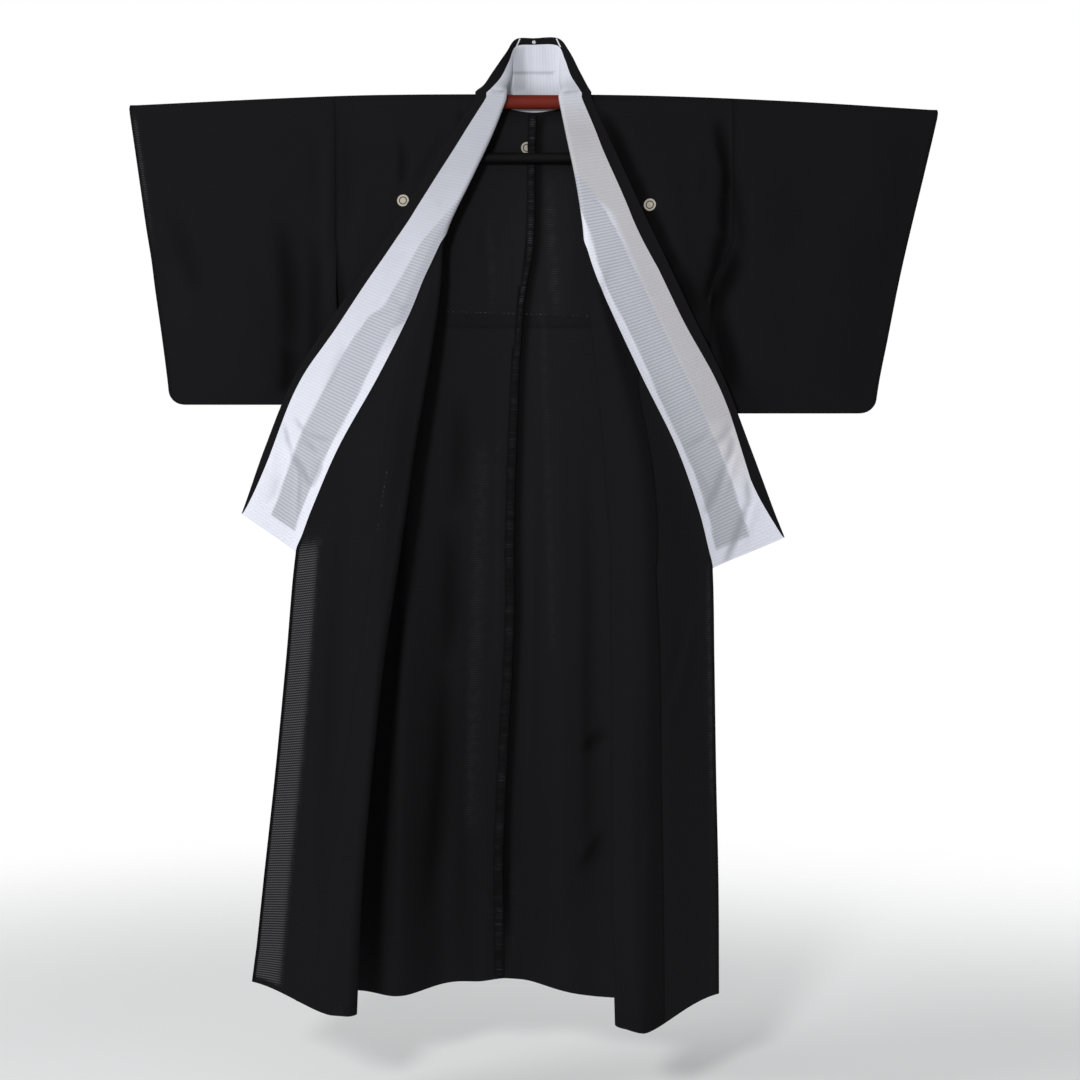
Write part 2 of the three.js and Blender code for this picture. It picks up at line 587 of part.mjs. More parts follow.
// Rings of a sleeve from the body outward: up the front, over the bar, down the back, under the bottom
function sleeveGrid(side) {
  const bottom = SLEEVE_BOTTOM[side];
  const read = SLEEVES[side];
  const heights = [...SLEEVE_HEIGHTS, bottom + SLEEVE_CORNER, bottom + 9, bottom + 2.5, bottom];
  const sewn = (share) => smooth(CUFF_FROM, 1, share);
  const xAt = (share, z, front = true) => {
    const row = read(z);
    const below = 1 - smooth(-ARMHOLE - 60, -ARMHOLE, z);
    const cover = front ? 0 : SLIT_COVER * below * smooth(bottom + 20, bottom + 60, z);
    const inner = FRONTS[side](Math.max(z, SLEEVE_FREE)).side + SEAM_GAP + row.inner - cover;
    const into = Math.min(z - bottom - SLEEVE_CORNER, 0);
    const corner = SLEEVE_CORNER - Math.sqrt(Math.max(SLEEVE_CORNER ** 2 - into ** 2, 0));
    return mix(inner, row.outer, share) - corner * smooth(CORNER_FROM, 1, share);
  };
  return SLEEVE_SHARES.map((share) => {
    const ring = [];
    const layer = (z, front) => {
      const x = xAt(share, z, front);
      const room = mix(read(z).room, read(z).cuff, sewn(share));
      const held = smooth(0, 0.1, share) * smooth(bottom, bottom + 60, z) * (1 - sewn(share));
      const pull = sleeveFolds(side, x, z) * held;
      const y = front ? -room - pull : room + pull * BACK_PULL;
      const drop = dropAt(SIDES[side] * x) * smooth(SLEEVE_SAG, 0, z);
      return new THREE.Vector3(SIDES[side] * x, y, z + drop);
    };
    for (const z of [...heights].reverse()) ring.push(layer(z, true));
    for (const angle of ARCH_ANGLES) {
      const turn = THREE.MathUtils.degToRad(angle);
      const x = xAt(share, 0);
      const z = ARCH_Z * Math.sin(turn) + dropAt(SIDES[side] * x);
      ring.push(new THREE.Vector3(SIDES[side] * x, -read(0).room * Math.cos(turn), z));
    }
    for (const z of heights) ring.push(layer(z, false));
    return ring;
  });
}

// What lies on a panel is made from the panel's own points, moved out. The binding covers the seam of
// the centre back, on the inside, on the wearer's right
function bindingGrid(body) {
  const rows = body.slice(-BACK_ROWS.length - 1);
  const grid = rows.map((row) => {
    const [beside, centre] = row.slice(-2);
    const width = beside.distanceTo(centre);
    return [1, 1 + BINDING_WIDTH].map((out) => centre.clone().lerp(beside, out / width));
  });
  return moved(grid, CLOTH + TOUCH);
}

function liningGrid(collar) {
  const rows = moved(collar, -CLOTH - TOUCH).map((row) => row.slice(0, -1));
  const drawnIn = (end, next) => end.map((p, i) => p.clone().lerp(next[i], LINING_SET_IN));
  return [drawnIn(rows[0], rows[1]), ...rows.slice(1, -1), drawnIn(rows.at(-1), rows.at(-2))];
}

// A round rod along a path
function rod(points, radius, sides = 14) {
  const path = new THREE.CatmullRomCurve3(points.map((p) => new THREE.Vector3(...p)));
  const circle = new THREE.Shape();
  for (let i = 0; i < sides; i += 1) {
    const turn = (i * 2 * Math.PI) / sides;
    const p = [radius * Math.cos(turn), radius * Math.sin(turn)];
    if (i === 0) circle.moveTo(...p);
    else circle.lineTo(...p);
  }
  circle.closePath();
  return new THREE.ExtrudeGeometry(circle, {
    steps: points.length > 2 ? 12 : 1, extrudePath: path, bevelEnabled: false,
  });
}

function hangerPieces() {
  const stops = [-BAR_HALF, -400, -250, 0, 200, 420, BAR_HALF];
  const linkTop = -BAR_RADIUS - TOUCH;
  const linkEnd = LOWER_BAR_Z + LOWER_BAR_RADIUS + TOUCH;
  const lower = [-LOWER_BAR_HALF, LOWER_BAR_HALF].map((x) => [x, LOWER_BAR_Y, LOWER_BAR_Z]);
  const pieces = {
    hanger_bar: rod(stops.map((x) => [x, 0, dropAt(x)]), BAR_RADIUS),
    hanger_lower_bar: rod(lower, LOWER_BAR_RADIUS),
  };
  for (const [side, sign] of Object.entries(SIDES)) {
    const x = sign * LINK_X;
    pieces[`hanger_link_${side}`] = rod([[x, 0, linkTop + dropAt(x)], [x, 0, linkEnd]], LINK_RADIUS, 10);
  }
  return pieces;
}

// The snap that holds the folded collar, at the centre of its turned-over edge
const SNAP = { radius: 3, height: 1.2, inset: 7 };

function snap(collar) {
  const row = collar[(collar.length - 1) / 2];
  const edge = row.at(-1);
  const under = row.at(-2);
  const down = under.clone().sub(edge).normalize();
  const disc = new THREE.CylinderGeometry(SNAP.radius, SNAP.radius, SNAP.height, 16);
  const out = new THREE.Vector3(0, down.z, -down.y).normalize();
  disc.applyQuaternion(new THREE.Quaternion().setFromUnitVectors(new THREE.Vector3(0, 1, 0), out));
  const centre = edge.clone().addScaledVector(down, SNAP.inset).addScaledVector(out, CLOTH + TOUCH);
  disc.translate(centre.x, centre.y, centre.z);
  return disc;
}

const BLACK_RO = { color: 0x17171a, roughness: 0.85, metalness: 0 };
const WHITE_RO = { color: 0xe6e8f0, roughness: 0.75, metalness: 0 };
const RED_LACQUER = { color: 0x7a2a1c, roughness: 0.4, metalness: 0 };
const BLACK_TUBE = { color: 0x111113, roughness: 0.45, metalness: 0.2 };
const STEEL = { color: 0xb9bcc0, roughness: 0.3, metalness: 1 };

const kimono = new THREE.Group();

function add(name, geometry, finish) {
  const mesh = new THREE.Mesh(geometry, new THREE.MeshStandardMaterial(finish));
  mesh.name = name;
  kimono.add(mesh);
}

const collar = collarGrid();
const bodies = { right: bodyGrid('right'), left: bodyGrid('left') };
for (const side of Object.keys(SIDES)) {
  add(`body_${side}`, wall(bodies[side]), BLACK_RO);
  add(`overlap_${side}`, wall(overlapGrid(side)), BLACK_RO);
  add(`sleeve_${side}`, wall(sleeveGrid(side), CLOTH, true), BLACK_RO);
}
add('collar', wall(collar), BLACK_RO);
add('collar_lining', wall(liningGrid(collar), THIN_CLOTH), WHITE_RO);
add('centre_binding', wall(bindingGrid(bodies.right), THIN_CLOTH), BLACK_RO);
add('collar_snap', snap(collar), STEEL);
for (const [name, geometry] of Object.entries(hangerPieces())) {
  add(name, geometry, name === 'hanger_bar' ? RED_LACQUER : BLACK_TUBE);
}

export default kimono;
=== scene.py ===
"""A black summer mourning kimono of leno gauze, hung by its sleeves, with the fronts thrown open.

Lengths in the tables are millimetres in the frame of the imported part: +Z up, +Y towards the garment's
back, the origin at the middle of the hanger's bar. "right" and "left" are the wearer's own sides, so the
wearer's right lies at -X. Widths are measured outward from the middle and are positive on both sides.
"""

import math

import bmesh
import bpy
import numpy as np
from bpy.props import FloatProperty, FloatVectorProperty, IntProperty, PointerProperty
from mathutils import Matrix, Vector


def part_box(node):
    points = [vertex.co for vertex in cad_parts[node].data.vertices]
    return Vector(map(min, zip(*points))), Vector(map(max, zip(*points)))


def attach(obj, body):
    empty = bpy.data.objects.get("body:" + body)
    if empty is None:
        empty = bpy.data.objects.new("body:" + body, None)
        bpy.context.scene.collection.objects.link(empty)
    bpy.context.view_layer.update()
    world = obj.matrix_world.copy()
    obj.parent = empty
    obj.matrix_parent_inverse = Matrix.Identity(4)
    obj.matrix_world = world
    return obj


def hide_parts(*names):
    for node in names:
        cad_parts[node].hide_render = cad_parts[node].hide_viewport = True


bl_info = {
    "name": "Mourning kimono",
    "version": (1, 0, 0),
    "blender": (4, 5, 0),
    "location": "3D View > Sidebar > Kimono",
    "description": "Builds a hung summer mourning kimono around its packed solids",
    "category": "Object",
}

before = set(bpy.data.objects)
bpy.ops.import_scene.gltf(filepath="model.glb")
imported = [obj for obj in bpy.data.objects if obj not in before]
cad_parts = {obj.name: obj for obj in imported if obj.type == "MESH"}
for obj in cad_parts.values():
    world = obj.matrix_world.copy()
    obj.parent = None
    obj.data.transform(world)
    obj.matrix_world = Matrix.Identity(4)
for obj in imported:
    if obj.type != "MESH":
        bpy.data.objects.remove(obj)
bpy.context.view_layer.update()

MM = 0.001
SIDES = {"right": -1, "left": 1}

# Main sizes of the garment and of its hanger. Sewn panels lap by a negative gap, so no light shows
CLOTH = 1.2
SEAM_GAP = -0.4
COLLAR_SEAM_GAP = -0.3
SLEEVE_SEAM = 319
ARMHOLE = 230
SLIT = 106
SLEEVE_CORNER = 22
OVERLAP_WIDTH = 150
COLLAR_END = {"right": -725, "left": -752}
COLLAR_MARGIN = 14
HEM = -1433
ARCH_Z = 10.9
ARCH_Y = 13
CROSSING = -218
CROSSING_HALF = 25
OVERLAP_TOP = {"right": -384, "left": -440}
HEM_Z = {
    "right": {"side": -1433, "fold": -1434, "crown": -1436, "edge": -1415},
    "left": {"side": -1442, "fold": -1452, "crown": -1461, "edge": -1435},
}
HEM_DIP = {"right": 10, "left": 16}
HEM_CROWN = 0.22
SLEEVE_BOTTOM = {"right": -489, "left": -503}
# How far a sleeve laps over the body's side behind and in front, below the armhole
SLIT_COVER = 9
FRONT_COVER = 4
BAR_HALF = 622
BAR_RADIUS = 11
BAR_LOWERED = 1
LOWER_BAR_HALF = 165
LOWER_BAR_RADIUS = 8
LOWER_BAR_Z = -91
LINK_X = 128
LINK_TOP = -12.3
LINK_RADIUS = 3
LINK_CLEAR = 0.3

# Heights over which the bar's sag fades out of the cloth, and over which the hems draw the cloth to them
DROP_FADES = -260
SLEEVE_DROP_FADES = -400
FRONT_HEM_RAMP = 78
BACK_HEM_RAMP = 63


def smooth(low, high, at):
    """A soft step from 0 at low to 1 at high."""
    t = np.clip((np.asarray(at, float) - low) / (high - low), 0, 1)
    return t * t * (3 - 2 * t)


def mix(a, b, t):
    return a + (b - a) * t


def bell(offset, spread):
    """1 at no offset, falling off softly over spread on both sides."""
    return np.exp(-((offset / spread) ** 2))


def window(low, high, soft, at):
    """1 between low and high and 0 beyond them, with soft ends."""
    return smooth(low - soft, low + soft, at) * (1 - smooth(high - soft, high + soft, at))


def runs(start, *parts):
    """Places from start in even runs, each given as its count with both ends and the place where it ends."""
    out = []
    for count, end in parts:
        out.append(np.linspace(start, end, count)[:-1])
        start = end
    return np.concatenate([*out, [start]])


class Table:
    """Rows with named columns, read smoothly at any value of the first column."""

    def __init__(self, columns, rows):
        names = columns.split()
        data = np.array(sorted(rows), float)
        self.key = data[:, 0]
        self.columns = {name: data[:, i + 1] for i, name in enumerate(names[1:])}
        ahead = np.minimum(np.arange(len(data)) + 1, len(data) - 1)
        behind = np.maximum(np.arange(len(data)) - 1, 0)
        span = self.key[ahead] - self.key[behind]
        self.slopes = {n: (c[ahead] - c[behind]) / span for n, c in self.columns.items()}

    def __call__(self, name, at):
        at = np.asarray(at, float)
        i = np.clip(np.searchsorted(self.key, at, side="left") - 1, 0, len(self.key) - 2)
        span = self.key[i + 1] - self.key[i]
        t = np.clip((at - self.key[i]) / span, 0, 1)
        a, b = self.columns[name][i], self.columns[name][i + 1]
        ma, mb = self.slopes[name][i] * span, self.slopes[name][i + 1] * span
        t2, t3 = t * t, t * t * t
        return (a * (2 * t3 - 3 * t2 + 1) + ma * (t3 - 2 * t2 + t)
                + b * (3 * t2 - 2 * t3) + mb * (t3 - t2))


BAR_DROP = Table("x drop", [
    (-640, -17.5), (-400, -6), (-250, -1), (0, 0), (200, -2.5), (420, -11.5), (640, -25),
])

# The fronts by height: side seam, a hidden control point, the fold with its roll, the crown of the
# turned-out cloth, the collar seam or front edge, and the collar's free edge
FRONT_COLUMNS = "z side sideY wave waveY fold foldY roll crown crownY seam seamY free freeY"
FRONTS = {
    "right": Table(FRONT_COLUMNS, [
        (0, 319, 0, 205, -14, 45, -21, 3.2, 62, -25, 88, -14, 94, -22),
        (-60, 319, 0, 210, -14, 68.4, -25, 3.4, 96, -28, 101, -16, 133, -24),
        (-130, 319, 0, 220, -15, 101, -28, 3.6, 136, -31, 119, -20, 178, -27),
        (-200, 319, 0, 230, -16, 134.5, -31, 4, 170, -34, 139, -26, 221, -29),
        (-235, 319, 0, 236, -17, 144, -34, 4.5, 155, -38, 149.5, -33, 243, -30),
        (-290, 318, 0, 245, -18, 147, -41, 5, 161, -46, 174, -43, 280, -31),
        (-350, 316, 0, 252, -20, 153, -48, 6, 180, -56, 198, -47, 321, -31),
        (-450, 317, 1, 262, -22, 168, -61, 7, 211, -72, 247.8, -50, 384, -31),
        (-560, 318, 2, 290, -24, 186, -72, 8, 228, -86, 310.3, -44, 430, -28),
        (-660, 321, 3, 325, -32, 199, -82, 9, 240, -93, 354.8, -35, 466, -23),
        (-700, 323, 4, 338, -36, 205, -86, 9.6, 245.5, -96, 370, -32, 482.6, -21),
        (-725, 324, 4, 346, -38, 208, -88, 10, 249, -98, 380, -30, 493, -20),
        (-900, 336, 6, 402, -44, 233, -103, 11, 264, -112, 396, -28, 505, -20),
        (-1080, 347, 8, 424, -48, 251, -118, 12, 284, -124, 414, -25, 515, -20),
        (-1260, 356, 9, 432, -52, 265, -134, 13, 306, -136, 434, -23, 530, -20),
        (-1433, 361, 10, 436, -56, 271, -148, 14, 322, -142, 452, -20, 545, -20),
    ]),
    "left": Table(FRONT_COLUMNS, [
        (0, 319, 0, 205, -14, 41, -21, 3.2, 60, -25, 88, -14, 92, -22),
        (-60, 319, 0, 210, -14, 53, -25, 3.4, 76, -28, 88, -16, 119, -24),
        (-130, 319, 0, 215, -15, 67.6, -28, 3.6, 98, -31, 87, -20, 151, -27),
        (-200, 318, 0, 215, -16, 78.6, -31, 4, 118, -34, 84, -26, 183, -29),
        (-235, 316, 0, 212, -17, 81.5, -35, 4.5, 93, -39, 83.5, -34, 200, -30),
        (-290, 293, 0, 205, -18, 84.5, -44, 5, 96, -49, 99.6, -45, 226, -32),
        (-350, 284, 0, 200, -20, 88, -53, 6, 111, -63, 124.7, -52, 254, -33),
        (-450, 286, 1, 196, -24, 98, -70, 7, 136, -84, 171.4, -54, 303, -34),
        (-560, 276, 0, 192, -30, 108, -88, 8, 160, -112, 226, -48, 346, -30),
        (-660, 268, -2, 208, -36, 114, -106, 9, 170, -134, 262.6, -36, 384, -24),
        (-725, 264, -3, 224, -38, 118, -118, 10, 172, -145, 279.6, -28, 409, -20),
        (-752, 264, -3.5, 230, -38, 118, -120, 10, 172, -146, 285.6, -27, 411, -20),
        (-900, 262, -6, 262, -40, 119, -128, 11, 172, -152, 289, -22, 420, -20),
        (-1080, 260, -8, 278, -44, 119, -134, 12, 170, -154, 292, -20, 430, -20),
        (-1260, 257, -9, 282, -46, 120, -138, 13, 168, -158, 296, -17, 440, -20),
        (-1433, 255, -10, 284, -48, 125, -140, 14, 166, -163, 297, -15, 450, -20),
    ]),
}
BACK = Table("z centre depth hang", [
    (0, 0, 13, 0), (-60, -3, 13.5, 0), (-205, -7, 15, 0), (-285, -15, 16, 0), (-342, -20, 17, 0),
    (-480, -26, 19, 0), (-690, -32, 24, 1), (-835, -32, 29, 2), (-1040, -42, 36, 4),
    (-1220, -50, 42, 7), (-1433, -49, 46, 8),
])
# across from -1 at the right side seam to 1 at the left one, spread, depth at the hem, from what height
BACK_FOLDS = [
    (-0.86, 0.13, 20, -420), (-0.56, 0.14, 44, -250), (-0.3, 0.12, -20, -350), (-0.12, 0.07, 9, -300),
    (0.13, 0.08, -7, -500), (0.36, 0.16, 18, -520), (0.68, 0.16, 34, -330), (0.9, 0.1, -10, -600),
]
NECK = Table("turn x y z", [
    (0, 88, -13, 0), (28, 88, -11.5, 5.1), (60, 88, -6.5, 9.5), (90, 88, 0, ARCH_Z), (120, 87, 6.5, 9.5),
    (152, 80, 11.5, 5.1), (180, 66, 13, 0), (186, 50, 13.1, -5), (192, 29, 13.3, -9.8), (198, 0, 13.5, -13.6),
])
COLLAR_RISE = Table("z right left", [
    (-752, 60, 49), (-725, 60, 50), (-560, 55, 50), (-450, 50, 47), (-318, 36, 36), (-235, 25, 25),
    (-130, 16, 16), (0, 10, 10),
])
BINDING = Table("z right width", [
    (-18, 5, 12.5), (-190, 7, 12), (-250, 8, 10), (-300, 4, 9), (-345, 2, 9), (-480, 0, 14), (-1433, 0, 16),
])
# The collar round the back of the neck: five points across it at each place, seam to free edge
NECK_COLLAR = {
    "right": [
        [(88.5, -10.5, 9), (54, -17, 11), (44, -22, 11.5), (50, -28, 13), (81, -21, 21)],
        [(87.5, 3, 10.5), (56, -5, 15), (46, -8, 19), (45, -13, 27), (67, -12, 44)],
        [(76, 12.8, 3.5), (50, 12, 17), (42, 12, 30), (38, 8, 50), (45, 7, 81)],
        [(52, 14.2, -6), (42, 17, 20), (37, 19, 42), (33, 20.5, 68), (29, 21, 106.5)],
    ],
    "left": [
        [(88.5, -10.5, 9), (54, -17, 10), (43, -22, 10), (49, -28, 12), (87, -21, 18)],
        [(87.5, 3, 10.5), (56, -5, 15), (45, -8, 19), (46, -13, 27), (74, -12, 45)],
        [(76, 12.8, 3.5), (52, 12, 17), (43, 12, 30), (43, 8, 50), (57, 7, 83)],
        [(52, 14.2, -6), (46, 17, 20), (42, 19, 42), (40, 20.5, 68), (39.5, 21, 107.5)],
    ],
}
BACK_OF_NECK = [(0, 14.2, -15.2), (0, 18, 14), (0, 20.5, 43), (0, 22, 75), (0, 24, 108.5)]
SLEEVE_COLUMNS = "z inner outer room cuff"
SLEEVES = {
    "right": Table(SLEEVE_COLUMNS, [
        (0, 0, 650, 13, 13), (-60, 0, 642, 14, 10), (-130, 0, 633, 15, 7), (-200, 0, 624, 15, 4.5),
        (-250, 2, 617, 15, 1), (-300, 4, 611, 14, 1), (-380, 5, 600, 12, 1), (-450, 5, 591, 8, 1),
        (-490, 5, 587, 2, 1),
    ]),
    "left": Table(SLEEVE_COLUMNS, [
        (0, 0, 649, 13, 13), (-60, 0, 636, 14, 10), (-130, 0, 621, 15, 7), (-200, 0, 606, 15, 4.5),
        (-250, 1, 596, 15, 1), (-300, 2, 586, 14, 1), (-380, 3, 571, 12, 1), (-450, 8, 557, 8, 1),
        (-504, 20, 549, 2, 1),
    ]),
}

# Creases, each a line in the picture plane: x, z, to x, to z, spread, and depth towards the
# viewer, which is negative for a trough
CREASES = {
    "sleeve_right_front": [
        (-398, -190, -390, -440, 18, -10), (-391, -400, -398, -486, 14, -8), (-588, -150, -541, -320, 19, -7),
        (-440, -260, -404, -480, 20, -6), (-352, -210, -345, -470, 14, -6),
        (-425, -240, -418, -470, 24, 3), (-352, -40, -349, -190, 12, -2.2), (-333, -60, -331, -330, 7, 2.4),
        (-560, -60, -500, -140, 34, 2), (-478, -330, -470, -478, 26, 2.2), (-610, -290, -590, -440, 16, 2),
    ],
    "sleeve_left_front": [
        (402, -60, 420, -300, 40, -2.5), (470, -200, 440, -470, 36, 3), (332, -236, 292, -340, 14, -12),
        (292, -310, 322, -480, 15, -13), (330, -110, 338, -250, 10, -5),
        (372, -300, 380, -480, 20, 3), (548, -120, 520, -330, 34, -2.4), (585, -60, 560, -240, 20, 2),
    ],
    "sleeve_back": [
        (405, -70, 395, -430, 30, 3.5), (470, -150, 500, -470, 34, -3), (560, -60, 520, -330, 30, 2.5),
        (350, -240, 360, -470, 18, -3.5), (600, -260, 575, -440, 18, -2.2),
    ],
    "front_right": [
        (-210, -56, -210, -142, 7, -4), (-118, -4, -114, -50, 6, -3.4), (-130, -40, -200, -150, 10, -3),
        (-300, -40, -296, -220, 12, -2),
        (-262, -110, -296, -330, 16, 2.5), (-185, -30, -240, -250, 14, -2),
        (-232, -620, -262, -1400, 10, 2.6), (-300, -560, -345, -1390, 16, -3), (-390, -640, -398, -980, 22, 2.4),
        (-420, -1010, -440, -1380, 16, -3), (-360, -1180, -384, -1425, 10, 2.2),
    ],
    "front_left": [
        (298, -26, 316, -150, 12, -9), (316, -110, 306, -240, 13, -10), (306, -215, 284, -330, 14, -10),
        (106, -12, 176, -155, 12, -8), (160, -125, 226, -275, 12, -9), (210, -240, 268, -352, 13, -9),
        (120, -24, 180, -210, 14, -2.4), (205, -40, 240, -300, 20, 2.4), (262, -70, 258, -190, 10, 2),
        (262, -812, 205, -1010, 9, 4.2), (240, -830, 190, -990, 10, -3), (142, -560, 148, -1390, 10, 2.6),
        (160, -700, 163, -1420, 7, -2.2), (222, -1080, 160, -1245, 14, 3), (252, -1300, 205, -1395, 6, 3.4),
        (268, -900, 280, -1230, 12, -2.4), (208, -640, 212, -1420, 6, 1.2),
    ],
    "back": [
        (-116, -464, -129, -673, 15, -7), (-129, -673, -140, -911, 16, -8), (-140, -911, -173, -1327, 18, -9),
        (-200, -560, -222, -1400, 13, 7), (-98, -700, -118, -1380, 12, 5), (-78, -420, -84, -800, 9, 2.4),
        (120, -1010, 83, -1052, 9, -6), (118, -1180, 52, -1272, 11, -7), (100, -1190, 40, -1300, 10, 4),
        (42, -480, 46, -1400, 12, 3), (88, -560, 96, -1300, 14, -5), (4, -520, -12, -1380, 8, 2.6),
        (-60, -1180, -46, -1330, 6, 3), (-100, -1235, -60, -1330, 4, 2.6), (62, -150, 60, -330, 14, 1.6),
        (-80, -160, -88, -330, 12, -1.8), (-40, -240, -48, -330, 7, 1.8), (250, -520, 238, -1400, 16, 6),
        (200, -600, 206, -1420, 14, -5), (-270, -640, -286, -1420, 16, -6),
    ],
    "lining": [
        (-402, -517, -385, -571, 4, -3.4), (-385, -568, -354, -624, 4.5, -7), (-354, -624, -332, -577, 5, -4.5),
        (-381, -513, -362, -540, 4, -3.6), (-364, -538, -322, -550, 4, -4), (-371, -546, -334, -575, 4.5, -4.6),
        (-377, -595, -379, -677, 3.5, 3), (-396, -560, -372, -604, 4, 2.6), (-352, -556, -322, -600, 5, 2.4),
        (-440, -520, -412, -600, 8, 2.4), (-300, -395, -330, -470, 7, -2), (-425, -650, -404, -600, 6, -1.6),
        (-240, -320, -205, -345, 5, 2.4), (-180, -150, -150, -175, 6, 2), (240, -350, 262, -392, 6, 2.4),
        (318, -519, 285, -558, 6, -4.4), (318, -540, 306, -587, 6, -5), (306, -583, 272, -667, 6.5, -6.5),
        (340, -598, 343, -656, 6, -4.6), (343, -644, 304, -750, 6, -6.5), (281, -534, 240, -562, 5, -3.6),
        (324, -566, 300, -640, 6, 3.2), (356, -640, 330, -722, 6, 3), (262, -590, 282, -644, 5, -2.4),
        (400, -690, 372, -640, 7, 2),
    ],
}


def along_lines(lines, x, z):
    """Sum of soft ridges and troughs along the given lines, tapered at both ends."""
    pull = np.zeros_like(x, dtype=float)
    for x0, z0, x1, z1, spread, depth in lines:
        run = np.array([x1 - x0, z1 - z0], float)
        length = float(np.hypot(*run))
        along = ((x - x0) * run[0] + (z - z0) * run[1]) / length
        across = ((x - x0) * run[1] - (z - z0) * run[0]) / length
        share = np.clip(along / length, 0, 1)
        past = np.maximum(0, np.maximum(-along, along - length))
        taper = np.clip(1 - (2 * share - 1) ** 2, 0.02, 1) ** 0.7
        # a crease wanders a little and is sharper on one side
        bend = across + 0.12 * spread * np.sin(share * 7 + x0)
        lean = 1 + 0.35 * np.tanh(bend / spread)
        pull += depth * taper * np.exp(-((bend / spread) ** 2) * lean - (past / (1.6 * spread)) ** 2)
    return pull


def ripple(x, z, seed, scale, depth):
    """A gentle unevenness that no hung cloth is without."""
    rng = np.random.default_rng(seed)
    out = np.zeros_like(x, dtype=float)
    for _ in range(7):
        ax, az = rng.uniform(0.5, 1.6), rng.uniform(0.05, 0.35)
        out += np.sin((x * ax + z * az) / scale + rng.uniform(0, 2 * math.pi)) * rng.uniform(0.3, 1)
    return out * depth / 3


def drop_at(x):
    return BAR_DROP("drop", x)


def centripetal(points, samples):
    """A smooth curve through the points (n, d), in samples + 1 even steps of its parameter."""
    p = np.asarray(points, float)
    ends = np.vstack([2 * p[0] - p[1], p, 2 * p[-1] - p[-2]])
    out = []
    spans = len(p) - 1
    for k in range(samples + 1):
        at = spans * k / samples
        i = min(int(at), spans - 1)
        t = at - i
        p0, p1, p2, p3 = ends[i:i + 4]
        d0, d1, d2 = (max(float(((b - a) ** 2).sum()) ** 0.25, 1e-4) for a, b in ((p0, p1), (p1, p2), (p2, p3)))
        t1 = ((p1 - p0) / d0 - (p2 - p0) / (d0 + d1) + (p2 - p1) / d1) * d1
        t2 = ((p2 - p1) / d1 - (p3 - p1) / (d1 + d2) + (p3 - p2) / d2) * d1
        c2, c3 = -3 * p1 + 3 * p2 - 2 * t1 - t2, 2 * p1 - 2 * p2 + t1 + t2
        out.append(p1 + t1 * t + c2 * t * t + c3 * t * t * t)
    return np.array(out)


CURVE_STEPS = 160


def even_points(points, shares):
    """Points at the given shares of the length of the smooth curve through points."""
    curve = centripetal(points, CURVE_STEPS)
    steps = np.concatenate([[0], np.cumsum(np.linalg.norm(np.diff(curve, axis=0), axis=1))])
    want = np.asarray(shares) * steps[-1]
    return np.stack([np.interp(want, steps, curve[:, k]) for k in range(curve.shape[1])], axis=1)


SIDE_ROOM = 0.15


def side_room(z):
    """From the middle plane to each cloth at the side: sewn together low down, apart at the armhole."""
    return mix(SIDE_ROOM, ARCH_Y, smooth(-ARMHOLE - SLIT, -ARMHOLE, z))


# Points along a front's line: the hidden part, the roll of the fold, and the turned-out part
HIDDEN_POINTS = 41
ROLL_STEPS = 12
SHOWN_STEPS = 60
APEX = HIDDEN_POINTS + ROLL_STEPS // 2 - 1
HIDDEN_REACH = 0.3
CROWN_GROWS = 110
FLAT_CROWN = 0.32
FLAT_SEAM = 0.64


def plain_line(side, z):
    """One height of a front as a line in plan. Returns its points and the seam's distance along it."""
    at = {n: float(FRONTS[side](n, z)) for n in FRONT_COLUMNS.split()[1:]}
    start = np.array([at["side"], at["sideY"] - float(side_room(z))])
    into = np.array([at["fold"] + at["roll"], at["foldY"] + at["roll"]])
    out = np.array([at["fold"] + at["roll"], at["foldY"] - at["roll"]])
    reach = (start[0] - into[0]) * HIDDEN_REACH
    control = [start, np.array([at["wave"], at["waveY"]]), into + [reach, 0], into]
    t = np.linspace(0, 1, HIDDEN_POINTS)[:, None]
    hidden = ((1 - t) ** 3 * control[0] + 3 * (1 - t) ** 2 * t * control[1]
              + 3 * (1 - t) * t * t * control[2] + t ** 3 * control[3])
    turn = math.pi / 2 + np.arange(1, ROLL_STEPS) * math.pi / ROLL_STEPS
    roll = np.stack([at["fold"] + at["roll"] * (1 + np.cos(turn)),
                     at["foldY"] + at["roll"] * np.sin(turn)], axis=1)
    end = np.array([at["free"], at["freeY"]])
    shows = float(smooth(0, 1, np.clip((CROSSING - z) / CROWN_GROWS, 0, 1)))
    crown = mix(mix(out, end, FLAT_CROWN), np.array([at["crown"], at["crownY"]]), shows)
    middle = mix(mix(out, end, FLAT_SEAM), np.array([at["seam"], at["seamY"]]), shows)
    points = np.vstack([hidden, roll, centripetal([out, crown, middle, end], SHOWN_STEPS)])
    lengths = np.concatenate([[0], np.cumsum(np.linalg.norm(np.diff(points, axis=0), axis=1))])
    seam = lengths[APEX]
    low, high = (0, APEX) if z > CROSSING else (APEX, len(points) - 1)
    for i in range(low, high):
        a, b = points[i, 0] - at["seam"], points[i + 1, 0] - at["seam"]
        if a * b <= 0 and a != b:
            seam = mix(lengths[i], lengths[i + 1], a / (a - b))
            break
    return points, lengths, seam


def front_line(side, z):
    """points, lengths, and the distances of the fold's apex, the seam and the free edge along them."""
    points, lengths, seam = plain_line(side, z)
    if abs(z - CROSSING) < CROSSING_HALF:
        offsets = []
        for way in (1, -1):
            _, other, other_seam = plain_line(side, CROSSING + way * CROSSING_HALF)
            offsets.append(other_seam - other[APEX])
        seam = lengths[APEX] + mix(*offsets, (CROSSING + CROSSING_HALF - z) / (2 * CROSSING_HALF))
    return points, lengths, lengths[APEX], seam


